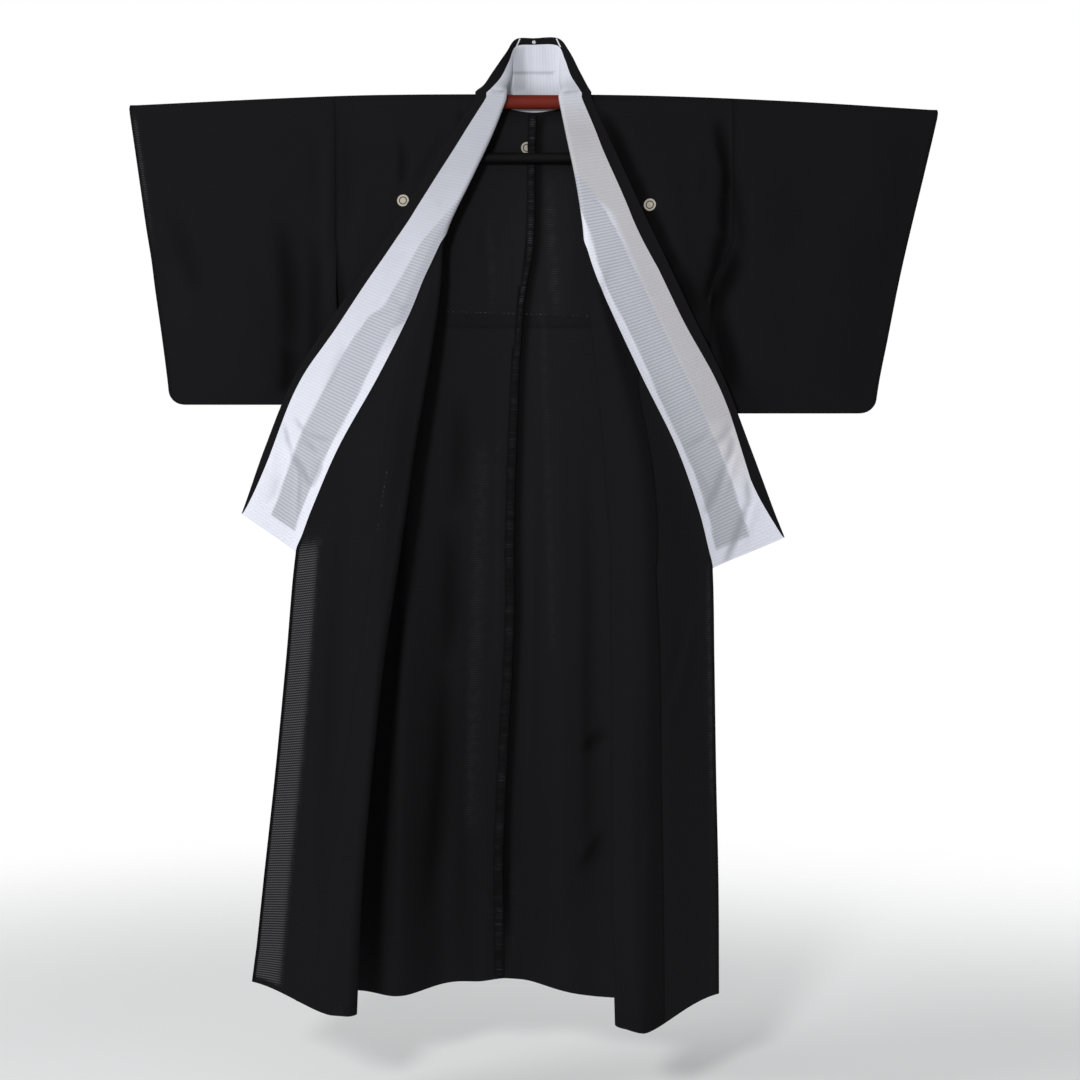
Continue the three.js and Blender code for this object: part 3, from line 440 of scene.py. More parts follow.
class Lines:
    """The lines of one front at all heights, worked out once and read between."""

    STEP = 4
    LOWEST = -1488
    HIGHEST = 5

    def __init__(self, side):
        self.heights = np.arange(self.LOWEST, self.HIGHEST, self.STEP, dtype=float)
        made = [front_line(side, min(z, 0)) for z in self.heights]
        self.points = np.array([m[0] for m in made])
        self.lengths = np.array([m[1] for m in made])
        self.apex = np.array([m[2] for m in made])
        self.seam = np.array([m[3] for m in made])

    def share(self, z):
        at = np.clip((z - self.heights[0]) / self.STEP, 0, len(self.heights) - 1.001)
        i = at.astype(int)
        return i, at - i

    def value(self, name, z):
        z = np.atleast_1d(np.asarray(z, float))
        i, t = self.share(z)
        table = getattr(self, name)
        return table[i] * (1 - t) + table[i + 1] * t

    def total(self, z):
        return np.interp(z, self.heights, self.lengths[:, -1])

    def at(self, z, distance):
        """Points in plan (n, 2) at a distance along the line of each height."""
        z, distance = np.broadcast_arrays(np.asarray(z, float), np.asarray(distance, float))
        flat_z, flat_d = z.ravel(), distance.ravel()
        i, t = self.share(flat_z)
        out = np.empty((len(flat_z), 2))
        for k in range(len(flat_z)):
            lengths = mix(self.lengths[i[k]], self.lengths[i[k] + 1], t[k])
            points = mix(self.points[i[k]], self.points[i[k] + 1], t[k])
            out[k] = [np.interp(flat_d[k], lengths, points[:, 0]), np.interp(flat_d[k], lengths, points[:, 1])]
        return out.reshape(*z.shape, 2)


LINES = {side: Lines(side) for side in SIDES}


def placed(side, plan, z):
    """Points in plan at heights z, as points in space."""
    x = SIDES[side] * plan[..., 0]
    return np.stack([x, plan[..., 1], z + drop_at(x) * smooth(DROP_FADES, 0, z)], axis=-1)


def gathered(start, end, place, spread, count, crowding=3.0):
    """Places from start to end that gather within spread of the given place."""
    dense = np.linspace(start, end, 400)
    weight = 1 + crowding * np.exp(-(((dense - place) / spread) ** 2))
    sums = np.concatenate([[0], np.cumsum((weight[1:] + weight[:-1]) / 2)])
    return np.interp(np.linspace(0, sums[-1], count), sums, dense)


OVERLAP_TAPER = 0.8


def overlap_width(side, z):
    top = OVERLAP_TOP[side]
    share = np.clip((top - np.asarray(z, float)) / (top - COLLAR_END[side]), 0, 1)
    return OVERLAP_WIDTH * share ** OVERLAP_TAPER


def hem_height(side, share_in, share_out):
    """The hem's height: share_in from the side to the fold, share_out from the fold to the edge."""
    h = HEM_Z[side]
    inner = mix(h["side"], h["fold"], share_in)
    near = mix(h["fold"], h["crown"], share_out / HEM_CROWN)
    far = mix(h["crown"], h["edge"], (share_out - HEM_CROWN) / (1 - HEM_CROWN))
    return np.where(share_in < 1, inner, np.where(share_out < HEM_CROWN, near, far))


def front_surface(side, z, distance):
    """Points of the front cloth, drawn down or up to its real hem near the bottom."""
    lines = LINES[side]
    apex = lines.value("apex", z).reshape(np.shape(z))
    seam = lines.value("seam", z).reshape(np.shape(z))
    plan = lines.at(z, distance)
    out = np.clip((distance - apex) / np.maximum(seam - apex, 1), 0, 1)
    shift = hem_height(side, np.clip(distance / apex, 0, 1), out) - HEM
    height = z + shift * np.clip((HEM + FRONT_HEM_RAMP - z) / FRONT_HEM_RAMP, 0, 1)
    return placed(side, plan, height)


def back_folds(across, z):
    pull = np.zeros(np.broadcast(across, z).shape)
    for place, spread, depth, top in BACK_FOLDS:
        grown = smooth(0, 1, np.clip((top - z) / (top - HEM), 0, 1))
        pull = pull + depth * grown * bell(across - place, spread)
    return pull


def back_surface(side, across, z):
    """Points of a back panel. across is 0 at the centre seam and 1 at the side."""
    sign = SIDES[side]
    at_side = FRONTS[side]("side", z)
    inner = sign * BACK("centre", z) + SEAM_GAP / 2
    x = sign * mix(inner, at_side, across)
    edge = across ** 3
    y = mix(BACK("depth", z), FRONTS[side]("sideY", z) + side_room(z), edge)
    y = y - back_folds(sign * across, z) * (1 - edge ** 2)
    hang = mix(BACK("hang", z), 0, np.minimum(across * 2, 1)) - HEM_DIP[side] * np.sin(across * math.pi) ** 2
    raised = z + hang * np.clip((HEM + BACK_HEM_RAMP - z) / BACK_HEM_RAMP, 0, 1)
    return np.stack([x, y, raised + drop_at(x) * smooth(DROP_FADES, 0, z)], axis=-1)


def sheet_lengths(points):
    """Cloth coordinates in metres of a grid of points: across the rows and along the columns."""
    rows, columns = points.shape[:2]
    u = np.zeros((rows, columns))
    v = np.zeros((rows, columns))
    u[:, 1:] = np.cumsum(np.linalg.norm(np.diff(points, axis=1), axis=2), axis=1)
    step = np.linalg.norm(np.diff(points, axis=0), axis=2).mean(axis=1)
    v[1:] = np.cumsum(step)[:, None]
    return np.stack([u, v], axis=-1) * MM


def grid_piece(name, points, uv=None, marks=None, thickness=0.5, ring=False):
    """A sheet of cloth from a grid of points in millimetres, with its cloth coordinates as a UV map."""
    rows, columns = points.shape[:2]
    if uv is None:
        uv = sheet_lengths(points)
    bm = bmesh.new()
    bmesh.ops.create_grid(bm, x_segments=columns - 1, y_segments=rows - 1, size=1)
    bm.verts.ensure_lookup_table()
    places = np.array([v.co for v in bm.verts])
    c = np.rint((places[:, 0] + 1) / 2 * (columns - 1)).astype(int)
    r = np.rint((places[:, 1] + 1) / 2 * (rows - 1)).astype(int)
    for vert, row, column in zip(bm.verts, r, c):
        vert.co = Vector(points[row, column]) * MM
    layer = bm.loops.layers.uv.new("cloth")
    layers = {key: bm.verts.layers.float.new(key) for key in (marks or {})}
    for key, values in (marks or {}).items():
        for vert, row, column in zip(bm.verts, r, c):
            vert[layers[key]] = float(values[row, column])
    index = {vert: k for k, vert in enumerate(bm.verts)}
    for face in bm.faces:
        face.smooth = True
        for loop in face.loops:
            k = index[loop.vert]
            loop[layer].uv = uv[r[k], c[k]]
    if ring:
        bmesh.ops.remove_doubles(bm, verts=bm.verts, dist=1e-6)
    for edge in bm.edges:
        edge.smooth = not edge.is_boundary
    mesh = bpy.data.meshes.new(name)
    bm.to_mesh(mesh)
    bm.free()
    piece = bpy.data.objects.new(name, mesh)
    bpy.context.scene.collection.objects.link(piece)
    if thickness:
        shell = piece.modifiers.new("Thickness", "SOLIDIFY")
        shell.thickness = thickness * MM
        shell.offset = 0
    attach(piece, "root")
    return piece


def mesh_piece(name, bm, sharp=35):
    """A finished bmesh in metres as an object that rides on the garment."""
    mesh = bpy.data.meshes.new(name)
    for face in bm.faces:
        face.smooth = True
    bm.to_mesh(mesh)
    bm.free()
    mesh.set_sharp_from_angle(angle=math.radians(sharp))
    piece = bpy.data.objects.new(name, mesh)
    bpy.context.scene.collection.objects.link(piece)
    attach(piece, "root")
    return piece


# ------ finishes


class Nodes:
    """A material's node tree, with short calls for the nodes that the finishes use."""

    def __init__(self, name):
        self.material = bpy.data.materials.new(name)
        self.material.use_nodes = True
        self.tree = self.material.node_tree
        self.tree.nodes.clear()
        self.output = self.tree.nodes.new("ShaderNodeOutputMaterial")
        self.shader = self.tree.nodes.new("ShaderNodeBsdfPrincipled")
        self.link(self.shader.outputs[0], self.output.inputs["Surface"])

    def link(self, source, target):
        self.tree.links.new(source, target)

    def node(self, kind, **settings):
        made = self.tree.nodes.new(kind)
        for key, value in settings.items():
            setattr(made, key, value)
        return made

    def fill(self, socket, value):
        if isinstance(value, bpy.types.NodeSocket):
            self.link(value, socket)
        else:
            socket.default_value = value

    def math(self, operation, a, b=0.0, clamp=False):
        made = self.node("ShaderNodeMath", operation=operation, use_clamp=clamp)
        self.fill(made.inputs[0], a)
        self.fill(made.inputs[1], b)
        return made.outputs[0]

    def times(self, a, b, clamp=False):
        return self.math("MULTIPLY", a, b, clamp)

    def plus(self, a, b, clamp=False):
        return self.math("ADD", a, b, clamp)

    def minus(self, a, b):
        return self.math("SUBTRACT", a, b)

    def mix(self, factor, a, b, blend="MIX"):
        made = self.node("ShaderNodeMix", data_type="RGBA", blend_type=blend)
        self.fill(made.inputs["Factor"], factor)
        self.fill(made.inputs[6], a)
        self.fill(made.inputs[7], b)
        return made.outputs[2]

    def step(self, value, low, high):
        """A soft step of a value from 0 at low to 1 at high."""
        made = self.node("ShaderNodeMapRange", interpolation_type="SMOOTHSTEP")
        self.fill(made.inputs["Value"], value)
        made.inputs["From Min"].default_value = low
        made.inputs["From Max"].default_value = high
        return made.outputs["Result"]

    def cloth(self):
        """Cloth coordinates in metres: across and along."""
        uv = self.node("ShaderNodeUVMap", uv_map="cloth")
        split = self.node("ShaderNodeSeparateXYZ")
        self.link(uv.outputs[0], split.inputs[0])
        return split.outputs[0], split.outputs[1], uv.outputs[0]

    def object(self):
        place = self.node("ShaderNodeTexCoord")
        split = self.node("ShaderNodeSeparateXYZ")
        self.link(place.outputs["Object"], split.inputs[0])
        return split.outputs, place.outputs["Object"]

    def mark(self, name):
        return self.node("ShaderNodeAttribute", attribute_name=name).outputs["Fac"]

    def noise(self, vector, scale, detail=2.0):
        made = self.node("ShaderNodeTexNoise")
        self.fill(made.inputs["Vector"], vector)
        made.inputs["Scale"].default_value = scale
        made.inputs["Detail"].default_value = detail
        return made.outputs["Fac"]

    def wave(self, value, pitch):
        """A wave from 0 to 1 along a value in metres."""
        turned = self.times(value, 2 * math.pi / pitch)
        return self.plus(self.times(self.math("SINE", turned), 0.5), 0.5)

    def bump(self, height, distance, strength=1.0):
        made = self.node("ShaderNodeBump")
        made.inputs["Strength"].default_value = strength
        made.inputs["Distance"].default_value = distance
        self.link(height, made.inputs["Height"])
        self.link(made.outputs[0], self.shader.inputs["Normal"])

    def set(self, **values):
        for key, value in values.items():
            self.fill(self.shader.inputs[key.replace("_", " ")], value)


# Pitches of the weaves and the emblem's size, in metres
RO_PITCH = 0.0033
HOLE_PITCH = 0.0039
THREAD_PITCH = 0.0011
WHITE_ROW_PITCH = 0.0052
WHITE_FINE_PITCH = 0.0026
WHITE_THREAD_PITCH = 0.0012
EMBLEM_RADIUS = 0.0095


def emblem_mask(n, places):
    """A plain ring round a disc at each place (x, z, side of y) in metres."""
    (x, y, z), _ = n.object()
    total = None
    for px, pz, facing in places:
        dx, dz = n.minus(x, px), n.minus(z, pz)
        far = n.math("SQRT", n.plus(n.times(dx, dx), n.times(dz, dz)))
        ring = n.minus(n.step(far, EMBLEM_RADIUS * 0.66, EMBLEM_RADIUS * 0.7),
                      n.step(far, EMBLEM_RADIUS * 0.97, EMBLEM_RADIUS * 1.02))
        disc = n.minus(1.0, n.step(far, EMBLEM_RADIUS * 0.5, EMBLEM_RADIUS * 0.55))
        right_side = n.math("GREATER_THAN", n.times(y, facing), 0.0)
        here = n.times(n.plus(ring, disc, clamp=True), right_side)
        total = here if total is None else n.math("MAXIMUM", total, here)
    return total


STITCH_PITCH = 0.0075
STITCH_HALF = 0.0005
SLIT_HALF = 0.0007


def stitch_mask(n, lines, dashed=True):
    """Fine pale lines (x, z, to x, to z, side of y) in metres, dashed where they are thread."""
    (x, y, z), _ = n.object()
    total = None
    for x0, z0, x1, z1, facing in lines:
        length = math.hypot(x1 - x0, z1 - z0)
        dx, dz = n.minus(x, x0), n.minus(z, z0)
        along = n.plus(n.times(dx, (x1 - x0) / length), n.times(dz, (z1 - z0) / length))
        across = n.minus(n.times(dx, (z1 - z0) / length),
                        n.times(dz, (x1 - x0) / length))
        half = STITCH_HALF if dashed else SLIT_HALF
        near = n.minus(1.0, n.step(n.math("ABSOLUTE", across), half, half * 1.8))
        inside = n.times(n.math("GREATER_THAN", along, 0.0), n.math("LESS_THAN", along, length))
        here = n.times(near, inside)
        if dashed:
            here = n.times(here, n.step(n.wave(along, STITCH_PITCH), 0.45, 0.75))
        here = n.times(here, n.math("GREATER_THAN", n.times(y, facing), 0.0))
        total = here if total is None else n.math("MAXIMUM", total, here)
    return total


# Share of the black's own tone that is left in the deepest shade
DEEP_SHADE = 0.18


def black_ro(name, settings, emblems=(), stitches=(), slits=()):
    """Black leno gauze: plain rows with a line of holes between them, paler where one layer shows."""
    n = Nodes(name)
    u, v, flat = n.cloth()
    rows = n.wave(v, RO_PITCH)
    threads = n.wave(u, THREAD_PITCH)
    worn = n.noise(flat, 9.0, 3.0)
    tone = n.mix(n.times(rows, 0.35), shade(settings.black, 1.0), shade(settings.black, 1.3))
    tone = n.mix(n.times(worn, 0.45), tone, shade(settings.black, 1.35))
    tone = n.mix(n.mark("dark"), tone, shade(settings.black, DEEP_SHADE))
    # the inner shade is for the viewer's side alone
    facing = n.node("ShaderNodeSeparateXYZ")
    n.link(n.node("ShaderNodeNewGeometry").outputs["Normal"], facing.inputs[0])
    seen = n.step(n.times(facing.outputs[1], -1.0), 0.0, 0.3)
    tone = n.mix(n.times(n.mark("inner"), seen), tone, shade(settings.black, DEEP_SHADE))
    # the pale ground behind shines through the holes of a single layer
    lean = n.plus(v, n.times(u, 0.12))
    dots = n.wave(n.plus(u, n.times(v, 0.5)), HOLE_PITCH)
    lines = n.step(n.wave(lean, HOLE_PITCH), 0.35, 0.95)
    holes = n.times(lines, n.plus(n.times(dots, 0.6), 0.4))
    # it is patchy where two layers play on each other, and even where one is alone
    sheer = n.mark("sheer")
    patchy = n.math("MAXIMUM", n.step(n.noise(flat, 70.0, 2.0), 0.38, 0.62), n.step(sheer, 0.3, 0.5))
    sheer = n.times(sheer, n.plus(n.times(patchy, 0.65), 0.35))
    light = n.times(sheer, n.plus(n.times(holes, 0.92), 0.08), clamp=True)
    tone = n.mix(light, tone, shade(settings.glow, 1.0))
    # painted light of the pale ground, glowing evenly through the cloth of a whole panel
    tone = n.mix(n.mark("pale"), tone, shade(settings.glow, 1.0))
    if stitches:
        worn_off = n.step(n.noise(flat, 45.0, 1.0), 0.4, 0.65)
        thread = n.times(n.times(stitch_mask(n, stitches), worn_off), 0.6)
        tone = n.mix(thread, tone, shade(settings.glow, 0.7))
    if slits:
        tone = n.mix(stitch_mask(n, slits, dashed=False), tone, shade(settings.white, 0.8))
    if emblems:
        tone = n.mix(emblem_mask(n, emblems), tone, shade(settings.emblem, 1.0))
    n.set(Base_Color=tone, Roughness=0.85, Specular_IOR_Level=0.015)
    n.shader.inputs["Sheen Weight"].default_value = 0.004
    n.shader.inputs["Sheen Roughness"].default_value = 0.5
    n.bump(n.plus(n.times(rows, 0.8), n.times(threads, 0.2)), 0.00025, 0.6)
    return n.material


# Tint of the lining where it has aged, and the grey towards which painted shade darkens the double lining near the
# neck
AGED = (0.85, 0.81, 0.765, 1.0)
LINING_SHADE_TONE = (0.5, 0.5, 0.5, 1.0)


def white_ro(settings):
    """White leno gauze of the lining: bright where it is double, striped where the black shows through."""
    n = Nodes("white_ro")
    u, v, flat = n.cloth()
    rows = n.wave(v, WHITE_ROW_PITCH)
    fine = n.wave(v, WHITE_FINE_PITCH)
    threads = n.wave(u, WHITE_THREAD_PITCH)
    single = n.mark("single")
    cloudy = n.noise(flat, 40.0, 3.0)
    uneven = n.plus(n.times(rows, 0.6), n.times(cloudy, 0.5))
    double = n.mix(n.times(uneven, 0.9), shade(settings.white, 1.0), shade(settings.white, 0.86))
    stripes = n.step(n.plus(rows, n.times(cloudy, 0.3)), 0.2, 1.1)
    striped = n.mix(stripes, shade(settings.white, 0.65), shade(settings.white, 0.50))
    tone = n.mix(single, n.mix(n.mark("aged"), double, AGED, "MULTIPLY"), striped)
    # painted shade that greys the double lining, deepest towards the neck
    tone = n.mix(n.mark("greyed"), tone, LINING_SHADE_TONE, "MULTIPLY")
    tone = n.mix(n.mark("dark"), tone, shade(settings.white, 0.4))
    n.set(Base_Color=tone, Roughness=0.78, Specular_IOR_Level=0.2)
    n.shader.inputs["Sheen Weight"].default_value = 0.1
    n.bump(n.plus(n.times(fine, 0.8), n.times(threads, 0.2)), 0.0003, 0.5)
    return n.material


def painted(name, colour, roughness, specular=0.3, coat=0.0):
    """A smooth hard finish with slight unevenness of colour and gloss."""
    n = Nodes(name)
    _, place = n.object()
    worn = n.noise(place, 60.0, 4.0)
    n.set(Base_Color=n.mix(n.times(worn, 0.3), shade(colour, 1.0), shade(colour, 0.7)),
          Roughness=n.plus(n.times(worn, 0.12), roughness), Specular_IOR_Level=specular)
    n.shader.inputs["Coat Weight"].default_value = coat
    n.bump(worn, 0.00008, 0.4)
    return n.material


def steel_finish():
    n = Nodes("steel")
    _, place = n.object()
    worn = n.noise(place, 300.0, 3.0)
    n.set(Base_Color=n.mix(worn, (0.52, 0.52, 0.54, 1.0), (0.7, 0.71, 0.73, 1.0)), Metallic=1.0,
          Roughness=n.plus(n.times(worn, 0.15), 0.25))
    return n.material


def shade(colour, share):
    return tuple(c * share for c in colour) + (1.0,)


def give(piece, material):
    piece.data.materials.clear()
    piece.data.materials.append(material)


# ------ settings


class KimonoSettings(bpy.types.PropertyGroup):
    """What a user would change about the garment."""

    black: FloatVectorProperty(name="Black", description="Base colour of the black gauze", subtype="COLOR",
                               size=3, min=0, max=1, default=(0.0074, 0.0074, 0.0081))
    glow: FloatVectorProperty(name="Sheer tone", description="Tone of a single layer over a pale ground",
                              subtype="COLOR", size=3, min=0, max=1, default=(0.092, 0.091, 0.098))
    emblem: FloatVectorProperty(name="Emblem", description="Colour of the plain round emblems", subtype="COLOR",
                                size=3, min=0, max=1, default=(0.40, 0.37, 0.31))
    white: FloatVectorProperty(name="White", description="Base colour of the white gauze lining", subtype="COLOR",
                               size=3, min=0, max=1, default=(0.735, 0.755, 0.835))
    lacquer: FloatVectorProperty(name="Bar", description="Colour of the hanger's upper bar", subtype="COLOR",
                                 size=3, min=0, max=1, default=(0.150, 0.013, 0.005))
    thickness: FloatProperty(name="Cloth", description="Thickness of the gauze as shown", unit="LENGTH",
                             default=0.0005, min=0.0002, max=0.0012)
    body_columns: IntProperty(name="Body columns", description="Columns of a body panel's grid", default=64,
                              min=20, max=120)
    collar_columns: IntProperty(name="Collar columns", description="Columns of the collar's grid", default=40,
                                min=12, max=80)


class StageSettings(bpy.types.PropertyGroup):
    """Where the garment is seen from and how it is lit."""

    distance: FloatProperty(name="Distance", description="Camera to the hanger's plane", unit="LENGTH",
                            default=3.0, min=1, max=10)
    lens: FloatProperty(name="Lens", description="Focal length of the camera in millimetres", default=62.0,
                        min=20, max=200)
    floor: FloatProperty(name="Floor", description="Height of the floor below the bar", unit="LENGTH",
                         default=-1.62, min=-3, max=-1.5)
    key: FloatProperty(name="Key light", description="Power of the key light in watts", default=66.0, min=0, max=400)


def sizes():
    return bpy.context.scene.kimono_settings


def thickness():
    return sizes().thickness / MM


# ------ pieces of the garment


# Rows of the body's grid: heights of the front and the back, and turns in degrees over the bar and on
# into the back of the neck
FRONT_HEIGHTS = runs(HEM, (62, -760), (58, -330), (34, -180), (26, 0))
BACK_HEIGHTS = np.concatenate([np.linspace(-36, -330, 40), np.linspace(-334, -374, 14), np.linspace(-382, HEM, 120)])
ARCH_TURNS = (12, 28, 43, 58, 74, 90, 106, 122, 137, 152, 168)
NECK_TURNS = (180, 183, 186, 189, 192, 195, 198)
ROLL_SPREAD = 1.7
BACK_GATHER = 0.8


def body_points(side):
    """A body panel as one length of cloth, from the front hem over the bar to the back hem."""
    columns = sizes().body_columns
    lines = LINES[side]
    rows, distances, gaps = [], [], []
    for z in FRONT_HEIGHTS:
        apex = float(lines.value("apex", z)[0])
        seam = float(lines.value("seam", z)[0])
        end = seam - float(overlap_width(side, z)) - SEAM_GAP / 2
        roll = float(FRONTS[side]("roll", z))
        distance = gathered(0, end, apex, roll * ROLL_SPREAD, columns)
        rows.append(front_surface(side, np.full(columns, z), distance))
        distances.append(distance)
        gaps.append(seam - distance)
    share = np.linspace(0, 1, columns)
    for angle in ARCH_TURNS:
        turn = math.radians(angle)
        x = SIDES[side] * mix(SLEEVE_SEAM, float(NECK("x", angle)), share)
        rows.append(np.stack([x, np.full(columns, -ARCH_Y * math.cos(turn)),
                              ARCH_Z * math.sin(turn) + drop_at(x)], axis=1))
    for angle in NECK_TURNS:
        x = SIDES[side] * mix(SLEEVE_SEAM, float(NECK("x", angle)) + SEAM_GAP / 2, share)
        y = mix(ARCH_Y, float(NECK("y", angle)), share)
        rows.append(np.stack([x, y, float(NECK("z", angle)) + drop_at(x)], axis=1))
    for z in BACK_HEIGHTS:
        rows.append(back_surface(side, 1 - share ** BACK_GATHER, np.full(columns, z)))
    return np.array(rows), np.array(distances), np.array(gaps)


TUCK_TOP = -341
TUCK_LOW = -362
TUCK_DEPTH = 1.6
TUCK_HALF = 150
TUCK_END = 215


def tuck(x, z):
    """The stitched cross tuck in the back: a ledge one layer proud of the cloth around it."""
    inside = 1 - smooth(TUCK_HALF, TUCK_END, np.abs(x))
    above = 1 - smooth(TUCK_TOP - 1, TUCK_TOP + 1.5, z)
    return inside * TUCK_DEPTH * above * smooth(TUCK_LOW - 2, TUCK_LOW + 2, z)


# Creases die out over these distances at a side seam and at the collar's seam
FREE_OF_SIDE = 6
FREE_OF_COLLAR = 14
FRONT_SEED = {"right": 3, "left": 5}


def front_relief(side, x, z, distance, gap):
    """Creases of a front. distance is from the side seam and gap to the collar seam, along the cloth."""
    pull = along_lines(CREASES[f"front_{side}"], x, z) + ripple(x, z, FRONT_SEED[side], 42, 1.2)
    by_collar = smooth(COLLAR_END[side] - 40, COLLAR_END[side], z)
    keep = mix(1, smooth(0, FREE_OF_COLLAR, gap), by_collar)
    return pull * keep * smooth(0, FREE_OF_SIDE, distance) * (1 - smooth(-30, -2, z))


def valley(pull, reach=10.0, most=0.62):
    """How much the shade deepens in the troughs."""
    return most * smooth(0, reach, -pull)


# Ladders of holes that show where two layers of the gauze play on each other: x, z, to x, to z, spread
# and amount
LADDERS = [
    (-84, -560, -106, -1180, 12, 0.17), (25, -140, 36, -330, 8, 0.22), (-72, -190, -66, -330, 6, 0.12),
    (14, -330, 30, -880, 5, 0.13), (-58, -520, -62, -900, 4, 0.08), (-30, -1240, -36, -1390, 9, 0.07),
]
LADDER_FADE = 30
# Pale patches in the hems of the fronts: from x, to x and amount, from what distance off the side seam
HEM_PATCHES = {"right": (-312, -282, 0.7), "left": (128, 168, 0.8)}
HEM_PATCH_FROM = {"right": 250, "left": 190}


def ladder_marks(x, z):
    sheer = np.zeros_like(x)
    for x0, z0, x1, z1, spread, amount in LADDERS:
        middle = x0 + (x1 - x0) * np.clip((z - z0) / (z1 - z0), 0, 1)
        sheer += amount * bell(x - middle, spread) * window(z1, z0, LADDER_FADE, z)
    return sheer


# The hem's turning, whose sewn edge shows as a fine dark line
HEM_BAND = 13
HEM_LINE = 1.8
DARKEST = 0.95
# The shade beside the centre seam's binding: where it starts, how far it reaches and how dark it is
SEAM_SHADE_FROM = 7
SEAM_SHADE = 6
SEAM_DARK = 0.95
# Painted light of the pale ground glowing through the back panel, weaker towards the hem
BACK_PALE = 0.034
BACK_PALE_LOW = 0.6


def hem_line(low, amount):
    return amount * bell(low - HEM_BAND, HEM_LINE)


def creased_body(side):
    """A body panel with its creases, and where it is sheer and where it lies in the dark."""
    points, distance, gap = body_points(side)
    fronts, backs = len(FRONT_HEIGHTS), len(BACK_HEIGHTS)
    sheer, dark, inner, pale = (np.zeros(points.shape[:2]) for _ in range(4))
    columns = points.shape[1]

    front = points[:fronts]
    pull = front_relief(side, front[..., 0], front[..., 2], distance, gap)
    low = front[..., 2] - front[0, :, 2]
    dark[:fronts] = valley(pull) + hem_line(low, 0.22)
    start, stop, amount = HEM_PATCHES[side]
    patch = window(start, stop, 4, front[..., 0]) * (distance > HEM_PATCH_FROM[side])
    sheer[:fronts] += amount * patch * smooth(1, 3, low) * (1 - smooth(9, 12, low))
    front[..., 1] -= pull

    back = points[-backs:]
    x, z = back[..., 0].copy(), back[..., 2].copy()
    inward = np.linspace(0, 1, columns)[None, :]
    fade = (1 - smooth(-90, -20, z)) * smooth(0, 0.03, inward)
    pull = (along_lines(CREASES["back"], x, z) + ripple(x, z, 11, 46, 1.4)) * fade
    low = z - z[-1]
    under = (z < TUCK_TOP) & (z > TUCK_LOW) & (np.abs(x) < TUCK_HALF)
    ledge = bell(z - TUCK_LOW, 4) * (np.abs(x) < TUCK_HALF - 10)
    dark[-backs:] = valley(pull)
    inner[-backs:] = 0.2 * under + 0.16 * ledge + hem_line(low, 0.22)
    beside = x - BACK("centre", z) - BINDING("right", z)
    seam_shade = SEAM_DARK * bell(np.maximum(beside - SEAM_SHADE_FROM, 0), SEAM_SHADE)
    inner[-backs:] += seam_shade * (beside > -12) * smooth(-1420, -1300, z)
    sheer[-backs:] = ladder_marks(x, z)
    pale[-backs:] = BACK_PALE * mix(1, BACK_PALE_LOW, smooth(-700, -1250, z))
    back[..., 1] -= pull + tuck(x, z)
    return points, {"sheer": np.clip(sheer, 0, 1), "dark": np.clip(dark, 0, DARKEST),
                    "inner": np.clip(inner, 0, DARKEST), "pale": pale}


# Emblems on the chest and the back and lines of stitches, in metres, as emblem_mask and stitch_mask read them
BODY_EMBLEMS = [(-0.210, -0.163, -1), (0.186, -0.169, -1), (-0.0115, -0.072, 1)]
BODY_STITCHES = [(-0.141, -0.3365, 0.094, -0.3445, 1), (-0.230, -0.600, -0.2655, -0.830, -1)]


class KIMONO_OT_bodies(bpy.types.Operator):
    """Make both body panels, from the front hem over the bar to the back hem"""

    bl_idname = "kimono.bodies"
    bl_label = "Body panels"

    def execute(self, context):
        material = black_ro("black_ro_body", sizes(), BODY_EMBLEMS, BODY_STITCHES)
        for side in SIDES:
            points, marks = creased_body(side)
            piece = grid_piece(f"cloth_body_{side}", points, marks=marks, thickness=thickness())
            give(piece, material)
            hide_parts(f"body_{side}")
        return {"FINISHED"}


# How sheer the overlap's single strip is, how pale the rest, how dark the line beside its seam, and the
# strip's width by height
OVERLAP_SHOW = {"right": 0.94, "left": 0.3}
OVERLAP_PALE = {"right": 0.0, "left": 0.045}
SEAM_LINE = {"right": 0.08, "left": 0.95}
OVERLAP_STRIP = {
    "right": lambda z: float(np.interp(z, [-1433, -1300, -1100, -900, -760, -725], [62, 58, 52, 46, 42, 40])),
    "left": lambda z: float(np.interp(z, [-1433, -1200, -1100, -800, -760, -725], [0, 0, 12, 14, 10, 6])),
}
OVERLAP_COLUMNS = 34
OVERLAP_BELOW_TOP = 0.6


def overlap_marks(side, z, share, width):
    """How sheer and how dark one row of an overlap panel is."""
    from_edge = (1 - share) * width
    strip = OVERLAP_STRIP[side](z)
    single = 1 - smooth(strip * 0.8, strip * 1.15 + 2, from_edge) if strip > 0 else from_edge * 0
    turned = 1 - smooth(5, 7, from_edge)
    below = 1 - float(smooth(COLLAR_END[side] - 10, COLLAR_END[side] + 30, z))
    low = float(smooth(HEM + 11, HEM + 15, z))
    return (single * (1 - turned) * below * low * OVERLAP_SHOW[side],
            0.5 * turned * below + hem_line(z - HEM, 0.2) * np.ones(len(share)))


